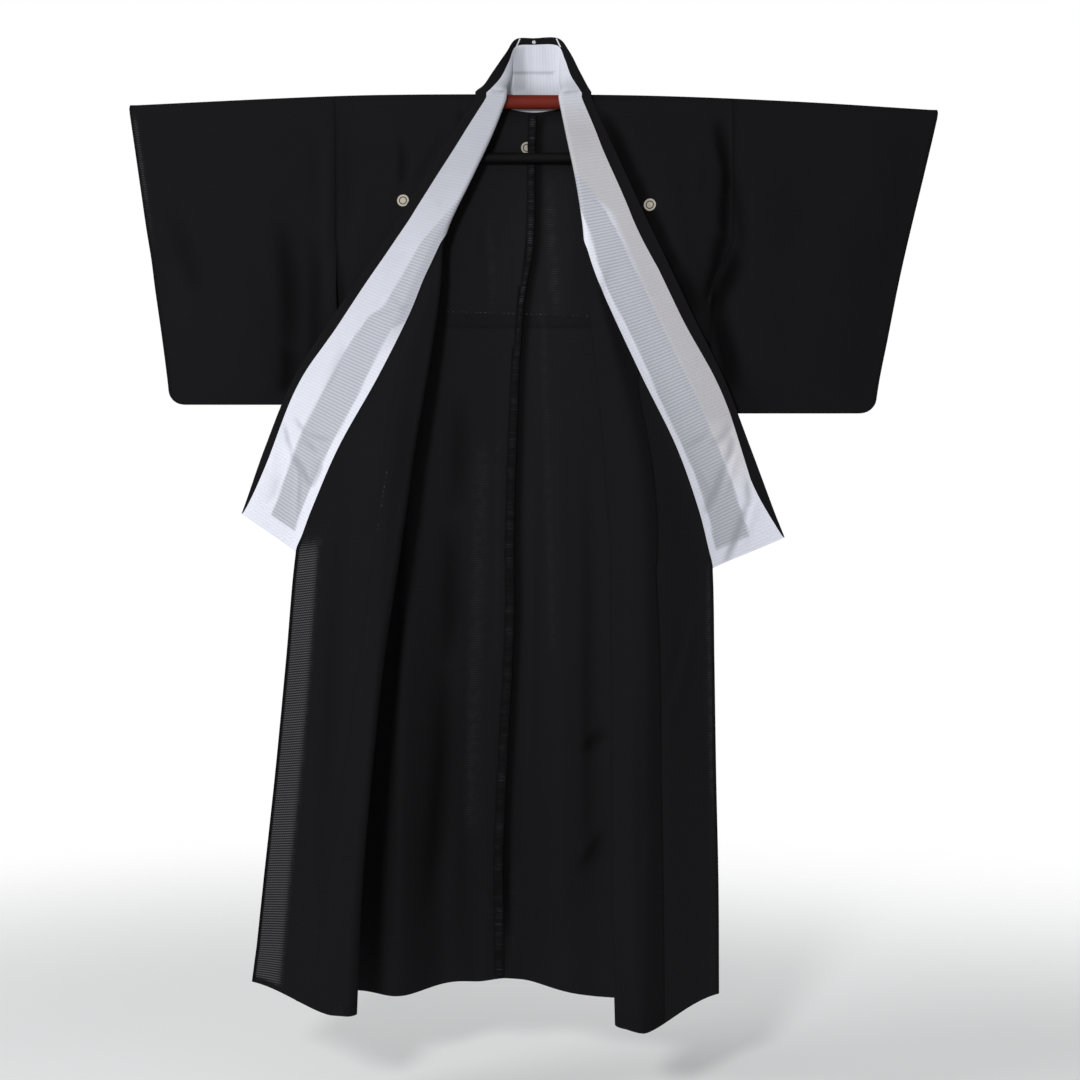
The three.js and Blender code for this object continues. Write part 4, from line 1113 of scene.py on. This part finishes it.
class KIMONO_OT_overlaps(bpy.types.Operator):
    """Make the overlap panels of the fronts, with their turned edge and hem"""

    bl_idname = "kimono.overlaps"
    bl_label = "Overlap panels"

    def execute(self, context):
        material = black_ro("black_ro_overlap", sizes())
        # columns gather beside the seam
        even = np.linspace(0, 1, OVERLAP_COLUMNS)
        share = np.concatenate([[0, 0.012, 0.022, 0.034], 1 - (1 - even[1:]) ** 1.25])
        for side in SIDES:
            heights = runs(HEM, (90, COLLAR_END[side]), (60, OVERLAP_TOP[side] - OVERLAP_BELOW_TOP))
            rows, sheer, dark, distances, gaps, widths = [], [], [], [], [], []
            for z in heights:
                seam = float(LINES[side].value("seam", z)[0])
                width = float(overlap_width(side, z))
                start = seam - width + SEAM_GAP / 2
                end = seam - (SEAM_GAP / 2 if z >= COLLAR_END[side] else 0)
                distance = mix(start, end, share)
                rows.append(front_surface(side, np.full(len(share), z), distance))
                distances.append(distance)
                gaps.append(seam - distance)
                widths.append(width)
                shows, shaded = overlap_marks(side, z, share, width)
                sheer.append(shows)
                dark.append(shaded)
            points = np.array(rows)
            pull = front_relief(side, points[..., 0], points[..., 2], np.array(distances), np.array(gaps))
            points[..., 1] -= pull
            from_seam = share[None, :] * np.array(widths)[:, None]
            seam_shade = SEAM_LINE[side] * (1 - smooth(3.0, 5.0, from_seam))
            shades = np.clip(np.array(dark) + valley(pull) + seam_shade, 0, DARKEST)
            piece = grid_piece(f"cloth_overlap_{side}", points, thickness=thickness(),
                               marks={"sheer": np.array(sheer), "dark": shades,
                                      "pale": np.full(shades.shape, OVERLAP_PALE[side])})
            give(piece, material)
            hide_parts(f"overlap_{side}")
        return {"FINISHED"}


# A sleeve's grid: shares of its width, heights of one side without the corner, shares of the corner, and
# turns over the bar
SLEEVE_SHARES = runs(0, (8, 0.1), (38, 0.84), (20, 1))
SLEEVE_TOP = -6
SLEEVE_ROWS = 72
CORNER_STEPS = np.array([0.8, 0.62, 0.46, 0.32, 0.2, 0.11, 0.04, 0])
SLEEVE_TURNS = np.radians([14, 28, 42, 58, 74, 90, 106, 122, 138, 152, 166])
CUFF_SEWN_FROM = 0.72
CORNER_FROM = 0.86


def sleeve_points(side):
    """Rings of a sleeve from the body outward: up the front, over the bar, down the back."""
    bottom = SLEEVE_BOTTOM[side]
    read = SLEEVES[side]
    sign = SIDES[side]
    heights = np.concatenate([np.linspace(SLEEVE_TOP, bottom + SLEEVE_CORNER, SLEEVE_ROWS),
                              bottom + SLEEVE_CORNER * CORNER_STEPS])

    def x_at(share, z, front):
        lap = FRONT_COVER * (1 - smooth(-ARMHOLE - 20, -ARMHOLE + 20, z)) if front else (
            SLIT_COVER * (1 - smooth(-ARMHOLE - 60, -ARMHOLE, z)))
        cover = lap * smooth(bottom + 20, bottom + 60, z)
        inner = FRONTS[side]("side", np.maximum(z, -345)) + SEAM_GAP + read("inner", z) - cover
        into = np.minimum(z - bottom - SLEEVE_CORNER, 0)
        corner = SLEEVE_CORNER - np.sqrt(np.maximum(SLEEVE_CORNER ** 2 - into ** 2, 0))
        return mix(inner, read("outer", z), share) - corner * smooth(CORNER_FROM, 1, share)

    def layer(share, z, front):
        x = sign * x_at(share, z, front)
        sewn = float(smooth(CUFF_SEWN_FROM, 1, share))
        room = mix(read("room", z), read("cuff", z), sewn)
        lines = CREASES[f"sleeve_{side}_front"] if front else [
            (sign * a, b, sign * c, d, e, f) for a, b, c, d, e, f in CREASES["sleeve_back"]]
        pull = along_lines(lines, x, z) + ripple(x, z, 21 if front else 23, 44, 1.1)
        pull = pull * (1 - sewn) * smooth(0, 0.012, share) * smooth(bottom, bottom + 30, z)
        pull = pull * (1 - smooth(-40, SLEEVE_TOP, z))
        y = (-room - pull) if front else (room + pull)
        return np.stack([x, y, z + drop_at(x) * smooth(SLEEVE_DROP_FADES, 0, z), valley(pull, 12, 0.6)], axis=1)

    rings = []
    for share in SLEEVE_SHARES:
        x = sign * float(x_at(share, np.array(0.0), True))
        over = np.stack([np.full(len(SLEEVE_TURNS), x), -float(read("room", 0)) * np.cos(SLEEVE_TURNS),
                         ARCH_Z * np.sin(SLEEVE_TURNS) + float(drop_at(x)), 0 * SLEEVE_TURNS], axis=1)
        front = layer(share, heights[::-1], True)
        rings.append(np.vstack([front, over, layer(share, heights, False), front[:1]]))
    rings = np.array(rings)
    return rings[..., :3], rings[..., 3]


SLEEVE_EMBLEMS = [(-0.485, -0.080, 1), (0.485, -0.083, 1)]


def sleeve_marks(side, points, shades):
    """The cuff's sewn line and the seam beside the body, and a sheer strip by the wearer's right cuff."""
    z = points[..., 2]
    across = np.linspace(0, 1, points.shape[0])[:, None]
    from_edge = np.abs(points[-1:, :, 0]) - np.abs(points[..., 0])
    sheer = 0.55 * (side == "right") * bell(from_edge - 7, 3) * smooth(-260, -110, z) * (
        1 - smooth(-34, -20, z)) * (points[..., 1] < 0)
    dark = shades + 0.3 * bell(from_edge - 3, 2) + 0.4 * bell(across * 300, 4)
    return {"sheer": sheer, "dark": np.clip(dark, 0, DARKEST) * np.ones_like(z)}


class KIMONO_OT_sleeves(bpy.types.Operator):
    """Make both sleeves, each one length of cloth that folds over the bar"""

    bl_idname = "kimono.sleeves"
    bl_label = "Sleeves"

    def execute(self, context):
        material = black_ro("black_ro_sleeve", sizes(), SLEEVE_EMBLEMS)
        for side in SIDES:
            points, shades = sleeve_points(side)
            uv = sheet_lengths(points.transpose(1, 0, 2)).transpose(1, 0, 2)
            piece = grid_piece(f"cloth_sleeve_{side}", points, uv=uv, ring=True, thickness=thickness(),
                               marks=sleeve_marks(side, points, shades))
            give(piece, material)
            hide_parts(f"sleeve_{side}")
        return {"FINISHED"}


# The black margin beside the lining: its share of the width at the collar's end, the height over which
# it grows, how much wider than COLLAR_MARGIN it is, and its width round the neck and behind it
MARGIN_AT_END = 0.012
MARGIN_REACH = 100
MARGIN_GROWS = 0.65
MARGIN_MORE = Table("z right left", [
    (0, 4, 1.5), (-59, 5, 3), (-97, 6, 5.5), (-174, 5.8, 7), (-251, 5, 10.5), (-309, 5, 7.4), (-406, 6, 6.4),
    (-444, 4, 4.2), (-482, 0, 1), (-520, -2, -1), (-560, -2.2, -0.8), (-634, -1, 4.4), (-690, 0, 7), (-752, 0, 2),
])
NECK_MARGINS = (17, 16.5, 15, 13)
BACK_MARGIN = 11.5
MARGIN_COLUMNS = 5
COLLAR_ROLL_SPREAD = 1.6
NECK_ROLL = 0.5
NECK_ROLL_SPREAD = 0.08


def collar_shares(roll, spread, margin, columns):
    """Shares of the collar's width: gathered at the roll, and evenly spaced over the black margin."""
    inner = gathered(0, 1 - margin, roll, spread, columns - MARGIN_COLUMNS)
    return np.concatenate([inner, np.linspace(1 - margin, 1, MARGIN_COLUMNS + 1)[1:]])


def collar_front_row(side, z, columns):
    """One row across the collar of a front, which rises from its seam to its free edge."""
    lines = LINES[side]
    rise = float(COLLAR_RISE(side, z))

    def band(at):
        seam = float(lines.value("seam", at)[0])
        return seam, float(lines.total(at)) - seam

    roll = 0.0
    for _ in range(5):
        at = min(z + rise * max(roll, 0), 0)
        seam, width = band(at)
        roll = (float(lines.value("apex", at)[0]) - seam) / width
    _, width = band(z)
    kept = float(np.clip((z - COLLAR_END[side]) / MARGIN_REACH, 0, 1)) ** MARGIN_GROWS
    margin = mix(MARGIN_AT_END, (COLLAR_MARGIN + float(MARGIN_MORE(side, z))) / width, kept)
    shares = collar_shares(roll, float(FRONTS[side]("roll", z)) * COLLAR_ROLL_SPREAD / width, margin, columns)
    heights = z + rise * shares
    low = np.minimum(heights, 0)
    seams = lines.value("seam", low)
    plan = lines.at(low, mix(seams + COLLAR_SEAM_GAP, lines.total(low), shares))
    points = placed(side, plan, low)
    points[:, 2] += np.maximum(heights, 0)
    return points, shares


def neck_row(points, columns, margin):
    """One row across the collar round the neck, gathered at its middle, where it folds."""
    length = np.linalg.norm(np.diff(centripetal(points, CURVE_STEPS), axis=0), axis=1).sum()
    shares = collar_shares(NECK_ROLL, NECK_ROLL_SPREAD, margin / length, columns)
    return even_points(points, shares), shares


# Steps between two knots of the curve round the neck
NECK_STEPS = 8


def collar_points():
    """The whole collar, from the lower end on the wearer's right, round the neck, to the left end."""
    columns = sizes().collar_columns
    halves = {}
    for side in SIDES:
        heights = runs(COLLAR_END[side], (124, -330), (36, -180), (26, 0))
        rows = [collar_front_row(side, z, columns) for z in heights]
        neck = [neck_row([(SIDES[side] * x, y, z) for x, y, z in points], columns, margin)
                for points, margin in zip(NECK_COLLAR[side], NECK_MARGINS)]
        halves[side] = (rows, neck)
    middle = neck_row(BACK_OF_NECK, columns, BACK_MARGIN)
    right_rows, right_neck = halves["right"]
    left_rows, left_neck = halves["left"]
    # the neck runs on a smooth curve from the last rows of one side to those of the other
    knots = [right_rows[-5], right_rows[-1], *right_neck, middle, *left_neck[::-1], left_rows[-1], left_rows[-5]]
    stack = np.array([k[0] for k in knots])
    steps = NECK_STEPS * (len(knots) - 1)
    kept = slice(NECK_STEPS + 1, -NECK_STEPS - 1)
    smooth_neck = np.stack([centripetal(stack[:, i], steps) for i in range(columns)], axis=1)[kept]
    share_stack = np.array([k[1] for k in knots])
    at = range(len(knots))
    neck_shares = [np.array([np.interp(t, at, share_stack[:, i]) for i in range(columns)])
                   for t in np.linspace(0, len(knots) - 1, steps + 1)[kept]]
    points = np.array([r[0] for r in right_rows] + list(smooth_neck) + [r[0] for r in left_rows[::-1]])
    shares = np.array([r[1] for r in right_rows] + neck_shares + [r[1] for r in left_rows[::-1]])
    return points, shares


def normals_of(points):
    along = np.gradient(points, axis=0)
    across = np.gradient(points, axis=1)
    n = np.cross(across, along)
    return n / np.maximum(np.linalg.norm(n, axis=2, keepdims=True), 1e-9)


# Shares of the collar's width between which its lining is single, and the height where that ends
SINGLE_OUTER = {
    "right": lambda z: np.interp(z, [-760, -626, -530, -385, -350, -336, -288, -240, -191, -143, -100],
                                 [0.56, 0.56, 0.59, 0.56, 0.52, 0.40, 0.36, 0.35, 0.24, 0.17, 0.10]),
    "left": lambda z: np.interp(z, [-760, -600, -450, -300, -190, -143, -111, -60],
                                [0.56, 0.58, 0.56, 0.55, 0.48, 0.36, 0.20, 0.10]),
}
SINGLE_INNER = {"right": 0.13, "left": 0.10}
SINGLE_TOP = {"right": -140, "left": -60}
SINGLE_SOFT = 0.012
# The turned-in end of the lining, and how far the collar's end rises from its seam to its free edge
TURNED_END = 24
END_RISE = {"right": 60, "left": 49}
# Depth of the painted shade on the double lining by height: growing towards the neck on the wearer's right, even on
# the left
LINING_SHADE_RIGHT = ([-578, -481, -385, -336, -240, -191, -143, -94], [0, 0.14, 0.28, 0.38, 0.48, 0.57, 0.7, 0.78])
LINING_SHADE_LEFT = ([-560, -510, -100, -60, 0], [0, 0.46, 0.46, 0.55, 0.5])
LINING_LIFT = 0.3


def lining_marks(points, shares, pull):
    """single: one layer on the black collar; dark: painted shade in creases, pleats, corners and the roll, and a
    ragged join; aged: its tint; and a painted shade that greys the double lining.
    """
    x, z = points[..., 0], points[..., 2]
    single = np.zeros_like(x)
    for side, sign in SIDES.items():
        here = x * sign > 0
        outer = SINGLE_OUTER[side](z)
        inner = SINGLE_INNER[side] + 0.02 * np.sin(z / 37)
        if side == "right":
            inner = inner - 0.3 * smooth(-375, -345, z)
        band = window(inner, outer, SINGLE_SOFT, shares) * (1 - smooth(SINGLE_TOP[side] - 30, SINGLE_TOP[side], z))
        ends = z - COLLAR_END[side] - shares * END_RISE[side]
        single = np.where(here, band * smooth(TURNED_END - 2, TURNED_END + 2, ends), single)
    # a ragged join in the lining of the wearer's right
    join = bell(z + 340 - 0.25 * (x + 215), 1.8) * (x < 0) * (shares < 0.42) * (shares > 0.04)
    # behind the neck: a shaded pleat, a fine one, a cross crease, and the shade in the corners
    pleat = 0.5 * smooth(-35, -31, x) * (1 - smooth(-17, -12, x)) * smooth(18, 26, z) * (1 - smooth(88, 98, z))
    pleat += 0.12 * bell(x - 20 + 0.12 * (z - 60), 3) * smooth(30, 45, z)
    crease = 0.6 * bell(z - 51, 2.6) * (np.abs(x) < 34) * (z > 30)
    corner = 0.25 * smooth(0, 16, z) * (1 - smooth(20, 44, z)) * (np.abs(x) < 70)
    # the roll of the wearer's right lies in shade
    rolled = 0.5 * (x < 0) * (1 - smooth(0.08, 0.2, shares)) * smooth(-420, -350, z) * (1 - smooth(-130, -100, z))
    dark = np.clip(0.3 * join + pleat + crease + corner + rolled, 0, 1) + np.clip(-pull / 7, 0, 0.7)
    by_neck = smooth(-190, -110, z)
    outer_part = smooth(0.4, 0.55, shares + by_neck)
    # painted shade on the double lining: growing towards the neck on the wearer's right, over the outer part and
    # near the neck on the left
    greyed = np.where(x < 0, np.interp(z, *LINING_SHADE_RIGHT), np.interp(z, *LINING_SHADE_LEFT) * outer_part)
    greyed = greyed * (1 - 0.5 * smooth(0, 30, z)) * (1 - 0.85 * np.clip(single, 0, 1))
    aged = smooth(0.5, 0.6, shares + 0.6 * by_neck) * (x > 0) * smooth(-650, -560, z) * (1 - smooth(-60, 20, z))
    return {"single": np.clip(single, 0, 1), "dark": np.clip(dark, 0, 1), "greyed": np.clip(greyed, 0, 1),
            "aged": aged}


# Two short white bars on the collar's outside, beside the snap: x, z, to x, to z in metres, side of y
COLLAR_SLITS = [(-0.0228, 0.1075, -0.0293, 0.0925, 1), (0.0362, 0.1075, 0.0430, 0.0925, 1)]


class KIMONO_OT_collar(bpy.types.Operator):
    """Make the wide collar and its white lining, turned out over the fronts"""

    bl_idname = "kimono.collar"
    bl_label = "Collar and lining"

    def execute(self, context):
        points, shares = collar_points()
        black = black_ro("black_ro_collar", sizes(), slits=COLLAR_SLITS)
        none = np.zeros(shares.shape)
        outer = grid_piece("cloth_collar", points, thickness=thickness(), marks={"sheer": none, "dark": none})
        give(outer, black)
        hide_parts("collar")
        lining = (points - normals_of(points) * (CLOTH + LINING_LIFT))[:, :-MARGIN_COLUMNS]
        x, z = lining[..., 0], lining[..., 2]
        pull = along_lines(CREASES["lining"], x, z) + ripple(x, z, 31, 20, 0.4)
        inward = np.linspace(0, 1, lining.shape[1])
        keep = (smooth(0, 0.12, inward) * (1 - 0.7 * smooth(0.9, 1, inward)))[None, :] * (1 - smooth(-30, 10, z))
        pull = pull * keep + LINING_LIFT
        marks = lining_marks(lining, shares[:, :-MARGIN_COLUMNS], pull)
        lining[..., 1] -= np.maximum(pull, -0.6)
        piece = grid_piece("cloth_lining", lining, marks=marks, thickness=0.4)
        give(piece, white_ro(sizes()))
        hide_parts("collar_lining")
        return {"FINISHED"}


# The binding's grid, its pucker every few rows, and its crown above the cloth
BINDING_ROWS = 560
BINDING_COLUMNS = 9
PUCKER_EVERY = 4
PUCKER_WAVE = 3.6
PUCKER_DEPTH = 1.7
BINDING_LIFT = 0.7
BINDING_CROWN = 3.2


class KIMONO_OT_binding(bpy.types.Operator):
    """Make the puckered binding over the seam of the centre back"""

    bl_idname = "kimono.binding"
    bl_label = "Back seam binding"

    def execute(self, context):
        rows, columns = BINDING_ROWS, BINDING_COLUMNS
        heights = np.linspace(-20, HEM + 6, rows)
        share = np.linspace(0, 1, columns)
        rng = np.random.default_rng(8)
        knots = np.arange(0, rows + PUCKER_EVERY, PUCKER_EVERY)
        pucker = np.interp(np.arange(rows), knots, rng.uniform(0.15, 1, len(knots)))
        pale = rng.uniform(0, 1, rows) ** 2
        drift = np.interp(np.arange(rows), knots, rng.uniform(-0.6, 0.6, len(knots)))
        out = []
        for k, z in enumerate(heights):
            right = float(BACK("centre", z)) + float(BINDING("right", z)) + drift[k]
            x = right - share * float(BINDING("width", z))
            base = back_near_seam(x, np.full(columns, z))
            wrinkle = np.sin(k * 2 * math.pi / PUCKER_WAVE + 1.6 * share) * pucker[k] * np.sin(math.pi * share)
            crown = BINDING_CROWN * np.sin(math.pi * np.clip(share * 0.8 + 0.16, 0, 1)) ** 0.7
            base[:, 1] -= CLOTH + BINDING_LIFT + crown + wrinkle * PUCKER_DEPTH
            out.append(base)
        points = np.array(out)
        flatness = np.sin(math.pi * share)[None, :] * pucker[:, None]
        shows = 0.5 + 0.5 * smooth(-420, -320, heights)
        marks = {"sheer": shows[:, None] * flatness * pale[:, None], "dark": 0.4 * (1 - flatness)}
        piece = grid_piece("cloth_binding", points, marks=marks, thickness=0.4)
        give(piece, black_ro("black_ro_binding", sizes()))
        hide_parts("centre_binding")
        return {"FINISHED"}


def back_near_seam(x, z):
    """Points of the back cloth beside the centre seam, with its creases."""
    centre = BACK("centre", z)
    hang = BACK("hang", z) * np.clip((HEM + BACK_HEM_RAMP - z) / BACK_HEM_RAMP, 0, 1)
    y = BACK("depth", z) - back_folds((x - centre) / 320, z)
    pull = along_lines(CREASES["back"], x, z) * (1 - smooth(-90, -20, z))
    return np.stack([x, y - np.maximum(pull, 0) - tuck(x, z), z + hang], axis=-1)


def rod(name, half, radius, centre, follow=False, segments=40):
    """A round rod along X with rounded ends, bent to the bar's own sag where it follows it."""
    bm = bmesh.new()
    bmesh.ops.create_cone(bm, cap_ends=True, segments=segments, radius1=radius, radius2=radius, depth=2 * half)
    ends = [e for e in bm.edges if all(abs(abs(v.co.z) - half) < 1e-6 for v in e.verts)]
    bmesh.ops.bevel(bm, geom=ends, offset=radius * 0.3, affect="EDGES", segments=4, profile=0.5, material=-1)
    long_edges = [e for e in bm.edges if abs(e.verts[0].co.z - e.verts[1].co.z) > half]
    bmesh.ops.subdivide_edges(bm, edges=long_edges, cuts=40 if follow else 2, use_grid_fill=False)
    for v in bm.verts:
        x = v.co.z
        drop = float(drop_at(x / MM)) * MM if follow else 0.0
        v.co = Vector((x + centre[0], v.co.x + centre[1], -v.co.y + centre[2] + drop))
    bmesh.ops.recalc_face_normals(bm, faces=bm.faces)
    return mesh_piece(name, bm)


class KIMONO_OT_hanger(bpy.types.Operator):
    """Make the hanger's two bars and the links between them"""

    bl_idname = "kimono.hanger"
    bl_label = "Hanger"

    def execute(self, context):
        red = painted("red_lacquer", sizes().lacquer, 0.5, 0.15, 0.05)
        black = painted("black_tube", (0.0032, 0.0032, 0.0036), 0.6, 0.1)
        bar = rod("bar_upper", BAR_HALF * MM, BAR_RADIUS * MM, (0, 0, -BAR_LOWERED * MM), follow=True)
        give(bar, red)
        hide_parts("hanger_bar")
        lower = rod("bar_lower", LOWER_BAR_HALF * MM, LOWER_BAR_RADIUS * MM, (0, -0.001, LOWER_BAR_Z * MM))
        give(lower, black)
        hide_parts("hanger_lower_bar")
        for side, sign in SIDES.items():
            x = sign * LINK_X * MM
            top = (LINK_TOP + float(drop_at(sign * LINK_X))) * MM
            low = (LOWER_BAR_Z + LOWER_BAR_RADIUS + LINK_CLEAR) * MM
            thick = LINK_RADIUS * MM
            bm = bmesh.new()
            bmesh.ops.create_cone(bm, cap_ends=True, segments=24, radius1=thick, radius2=thick, depth=top - low)
            rims = [e for e in bm.edges if abs(e.verts[0].co.z - e.verts[1].co.z) < 1e-6]
            bmesh.ops.bevel(bm, geom=rims, offset=0.0006, affect="EDGES", segments=3, profile=0.5, material=-1)
            bmesh.ops.translate(bm, verts=bm.verts, vec=Vector((x, 0, (top + low) / 2)))
            link = mesh_piece(f"bar_link_{side}", bm)
            give(link, black)
            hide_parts(f"hanger_link_{side}")
        return {"FINISHED"}


# The snap's disc in metres: its radius, its rings as inset and rise, its rim and the way it faces
SNAP_RADIUS = 0.003
SNAP_RINGS = ((0.0004, 0.0), (0.0007, 0.0005), (0.0006, 0.0), (0.0005, -0.0004))
SNAP_RIM = 0.0008
SNAP_FACES = (0, -1, 0.07)


class KIMONO_OT_snap(bpy.types.Operator):
    """Make the snap that holds the folded collar at its turned-over edge"""

    bl_idname = "kimono.snap"
    bl_label = "Collar snap"

    def execute(self, context):
        low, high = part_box("collar_snap")
        centre = (Vector(low) + Vector(high)) / 2
        bm = bmesh.new()
        bmesh.ops.create_circle(bm, cap_ends=True, segments=40, radius=SNAP_RADIUS)
        face = bm.faces[:]
        for inset, rise in SNAP_RINGS:
            made = bmesh.ops.inset_individual(bm, faces=face, thickness=inset, depth=rise)
            face = face if not made["faces"] else face
        rim = bmesh.ops.extrude_edge_only(bm, edges=[e for e in bm.edges if e.is_boundary])
        moved = [g for g in rim["geom"] if isinstance(g, bmesh.types.BMVert)]
        bmesh.ops.translate(bm, verts=moved, vec=Vector((0, 0, -SNAP_RIM)))
        bmesh.ops.contextual_create(bm, geom=[e for e in bm.edges if e.is_boundary])
        turn = Vector((0, 0, 1)).rotation_difference(Vector(SNAP_FACES).normalized()).to_matrix()
        bmesh.ops.rotate(bm, verts=bm.verts, cent=Vector((0, 0, 0)), matrix=turn)
        bmesh.ops.translate(bm, verts=bm.verts, vec=centre)
        bmesh.ops.recalc_face_normals(bm, faces=bm.faces)
        piece = mesh_piece("snap_disc", bm)
        give(piece, steel_finish())
        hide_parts("collar_snap")
        return {"FINISHED"}


# ------ stage


# The camera's place across and in height, the floor and where it fades out, and the lights: place,
# target, size and share of the key light's power
CAMERA_X = 0.0097
CAMERA_Z = -0.7073
FLOOR_RADIUS = 3.2
FLOOR_FADE = (0.9, 2.9)
LIGHTS = {
    "key": ((-0.75, -3.3, 0.1), (0, 0, -0.65), 0.45, 1),
    "rake": ((-2.9, -1.5, 0.9), (0.1, 0, -0.7), 1.2, 0.62),
    "behind": ((1.1, 3.3, 0.5), (0, 0, -0.65), 1.6, 0.8),
}
SKY_SEEN = ((1, 1, 1, 1), 1.0)
SKY_LIGHT = ((0.97, 0.98, 1, 1), 0.36)


class KIMONO_OT_stage(bpy.types.Operator):
    """Make the camera, the soft studio light and the plain pale floor"""

    bl_idname = "kimono.stage"
    bl_label = "Camera, light and floor"

    def execute(self, context):
        settings = context.scene.kimono_stage
        scene = context.scene
        data = bpy.data.cameras.new("camera")
        data.lens = settings.lens
        data.sensor_width = 36
        data.clip_end = 60
        camera = bpy.data.objects.new("camera", data)
        camera.location = (CAMERA_X, -settings.distance, CAMERA_Z)
        camera.rotation_euler = (math.pi / 2, 0, 0)
        scene.collection.objects.link(camera)
        scene.camera = camera

        bm = bmesh.new()
        bmesh.ops.create_circle(bm, cap_ends=True, segments=96, radius=FLOOR_RADIUS)
        mesh = bpy.data.meshes.new("floor")
        bm.to_mesh(mesh)
        bm.free()
        floor = bpy.data.objects.new("floor", mesh)
        floor.location = (0, 0, settings.floor)
        scene.collection.objects.link(floor)
        n = Nodes("pale_floor")
        (x, y, _), place = n.object()
        far = n.math("SQRT", n.plus(n.times(x, x), n.times(y, y)))
        n.set(Base_Color=(0.86, 0.86, 0.86, 1.0), Roughness=0.9)
        clear = n.node("ShaderNodeBsdfTransparent")
        blend = n.node("ShaderNodeMixShader")
        n.link(n.step(far, *FLOOR_FADE), blend.inputs[0])
        n.link(n.shader.outputs[0], blend.inputs[1])
        n.link(clear.outputs[0], blend.inputs[2])
        n.link(blend.outputs[0], n.output.inputs["Surface"])
        floor.data.materials.append(n.material)

        for name, (place, target, size, share) in LIGHTS.items():
            light = bpy.data.lights.new(name, "AREA")
            light.shape = "DISK"
            light.size = size
            light.energy = settings.key * share
            lamp = bpy.data.objects.new(name, light)
            lamp.location = place
            lamp.rotation_euler = (Vector(target) - Vector(place)).to_track_quat("-Z", "Y").to_euler()
            scene.collection.objects.link(lamp)

        world = bpy.data.worlds.new("studio")
        world.use_nodes = True
        tree = world.node_tree
        tree.nodes.clear()
        out = tree.nodes.new("ShaderNodeOutputWorld")
        seen, lit = (tree.nodes.new("ShaderNodeBackground") for _ in range(2))
        for node, (colour, strength) in ((seen, SKY_SEEN), (lit, SKY_LIGHT)):
            node.inputs["Color"].default_value = colour
            node.inputs["Strength"].default_value = strength
        path = tree.nodes.new("ShaderNodeLightPath")
        either = tree.nodes.new("ShaderNodeMixShader")
        tree.links.new(path.outputs["Is Camera Ray"], either.inputs[0])
        tree.links.new(lit.outputs[0], either.inputs[1])
        tree.links.new(seen.outputs[0], either.inputs[2])
        tree.links.new(either.outputs[0], out.inputs["Surface"])
        scene.world = world
        scene.view_settings.view_transform = "Standard"
        return {"FINISHED"}


STEPS = (KIMONO_OT_stage, KIMONO_OT_bodies, KIMONO_OT_overlaps, KIMONO_OT_sleeves, KIMONO_OT_collar,
         KIMONO_OT_binding, KIMONO_OT_hanger, KIMONO_OT_snap)


class KIMONO_PT_panel(bpy.types.Panel):
    """Lists the steps that build the garment"""

    bl_idname = "KIMONO_PT_panel"
    bl_label = "Kimono"
    bl_space_type = "VIEW_3D"
    bl_region_type = "UI"
    bl_category = "Kimono"

    def draw(self, context):
        for group in (context.scene.kimono_settings, context.scene.kimono_stage):
            for name in group.__annotations__:
                self.layout.prop(group, name)
        for step in STEPS:
            self.layout.operator(step.bl_idname)


CLASSES = (KimonoSettings, StageSettings, *STEPS, KIMONO_PT_panel)


def register():
    for cls in CLASSES:
        bpy.utils.register_class(cls)
    bpy.types.Scene.kimono_settings = PointerProperty(type=KimonoSettings)
    bpy.types.Scene.kimono_stage = PointerProperty(type=StageSettings)


def unregister():
    del bpy.types.Scene.kimono_stage
    del bpy.types.Scene.kimono_settings
    for cls in reversed(CLASSES):
        bpy.utils.unregister_class(cls)


def main():
    register()
    for step in STEPS:
        group, name = step.bl_idname.split(".")
        getattr(getattr(bpy.ops, group), name)()


if __name__ == "__main__":
    main()
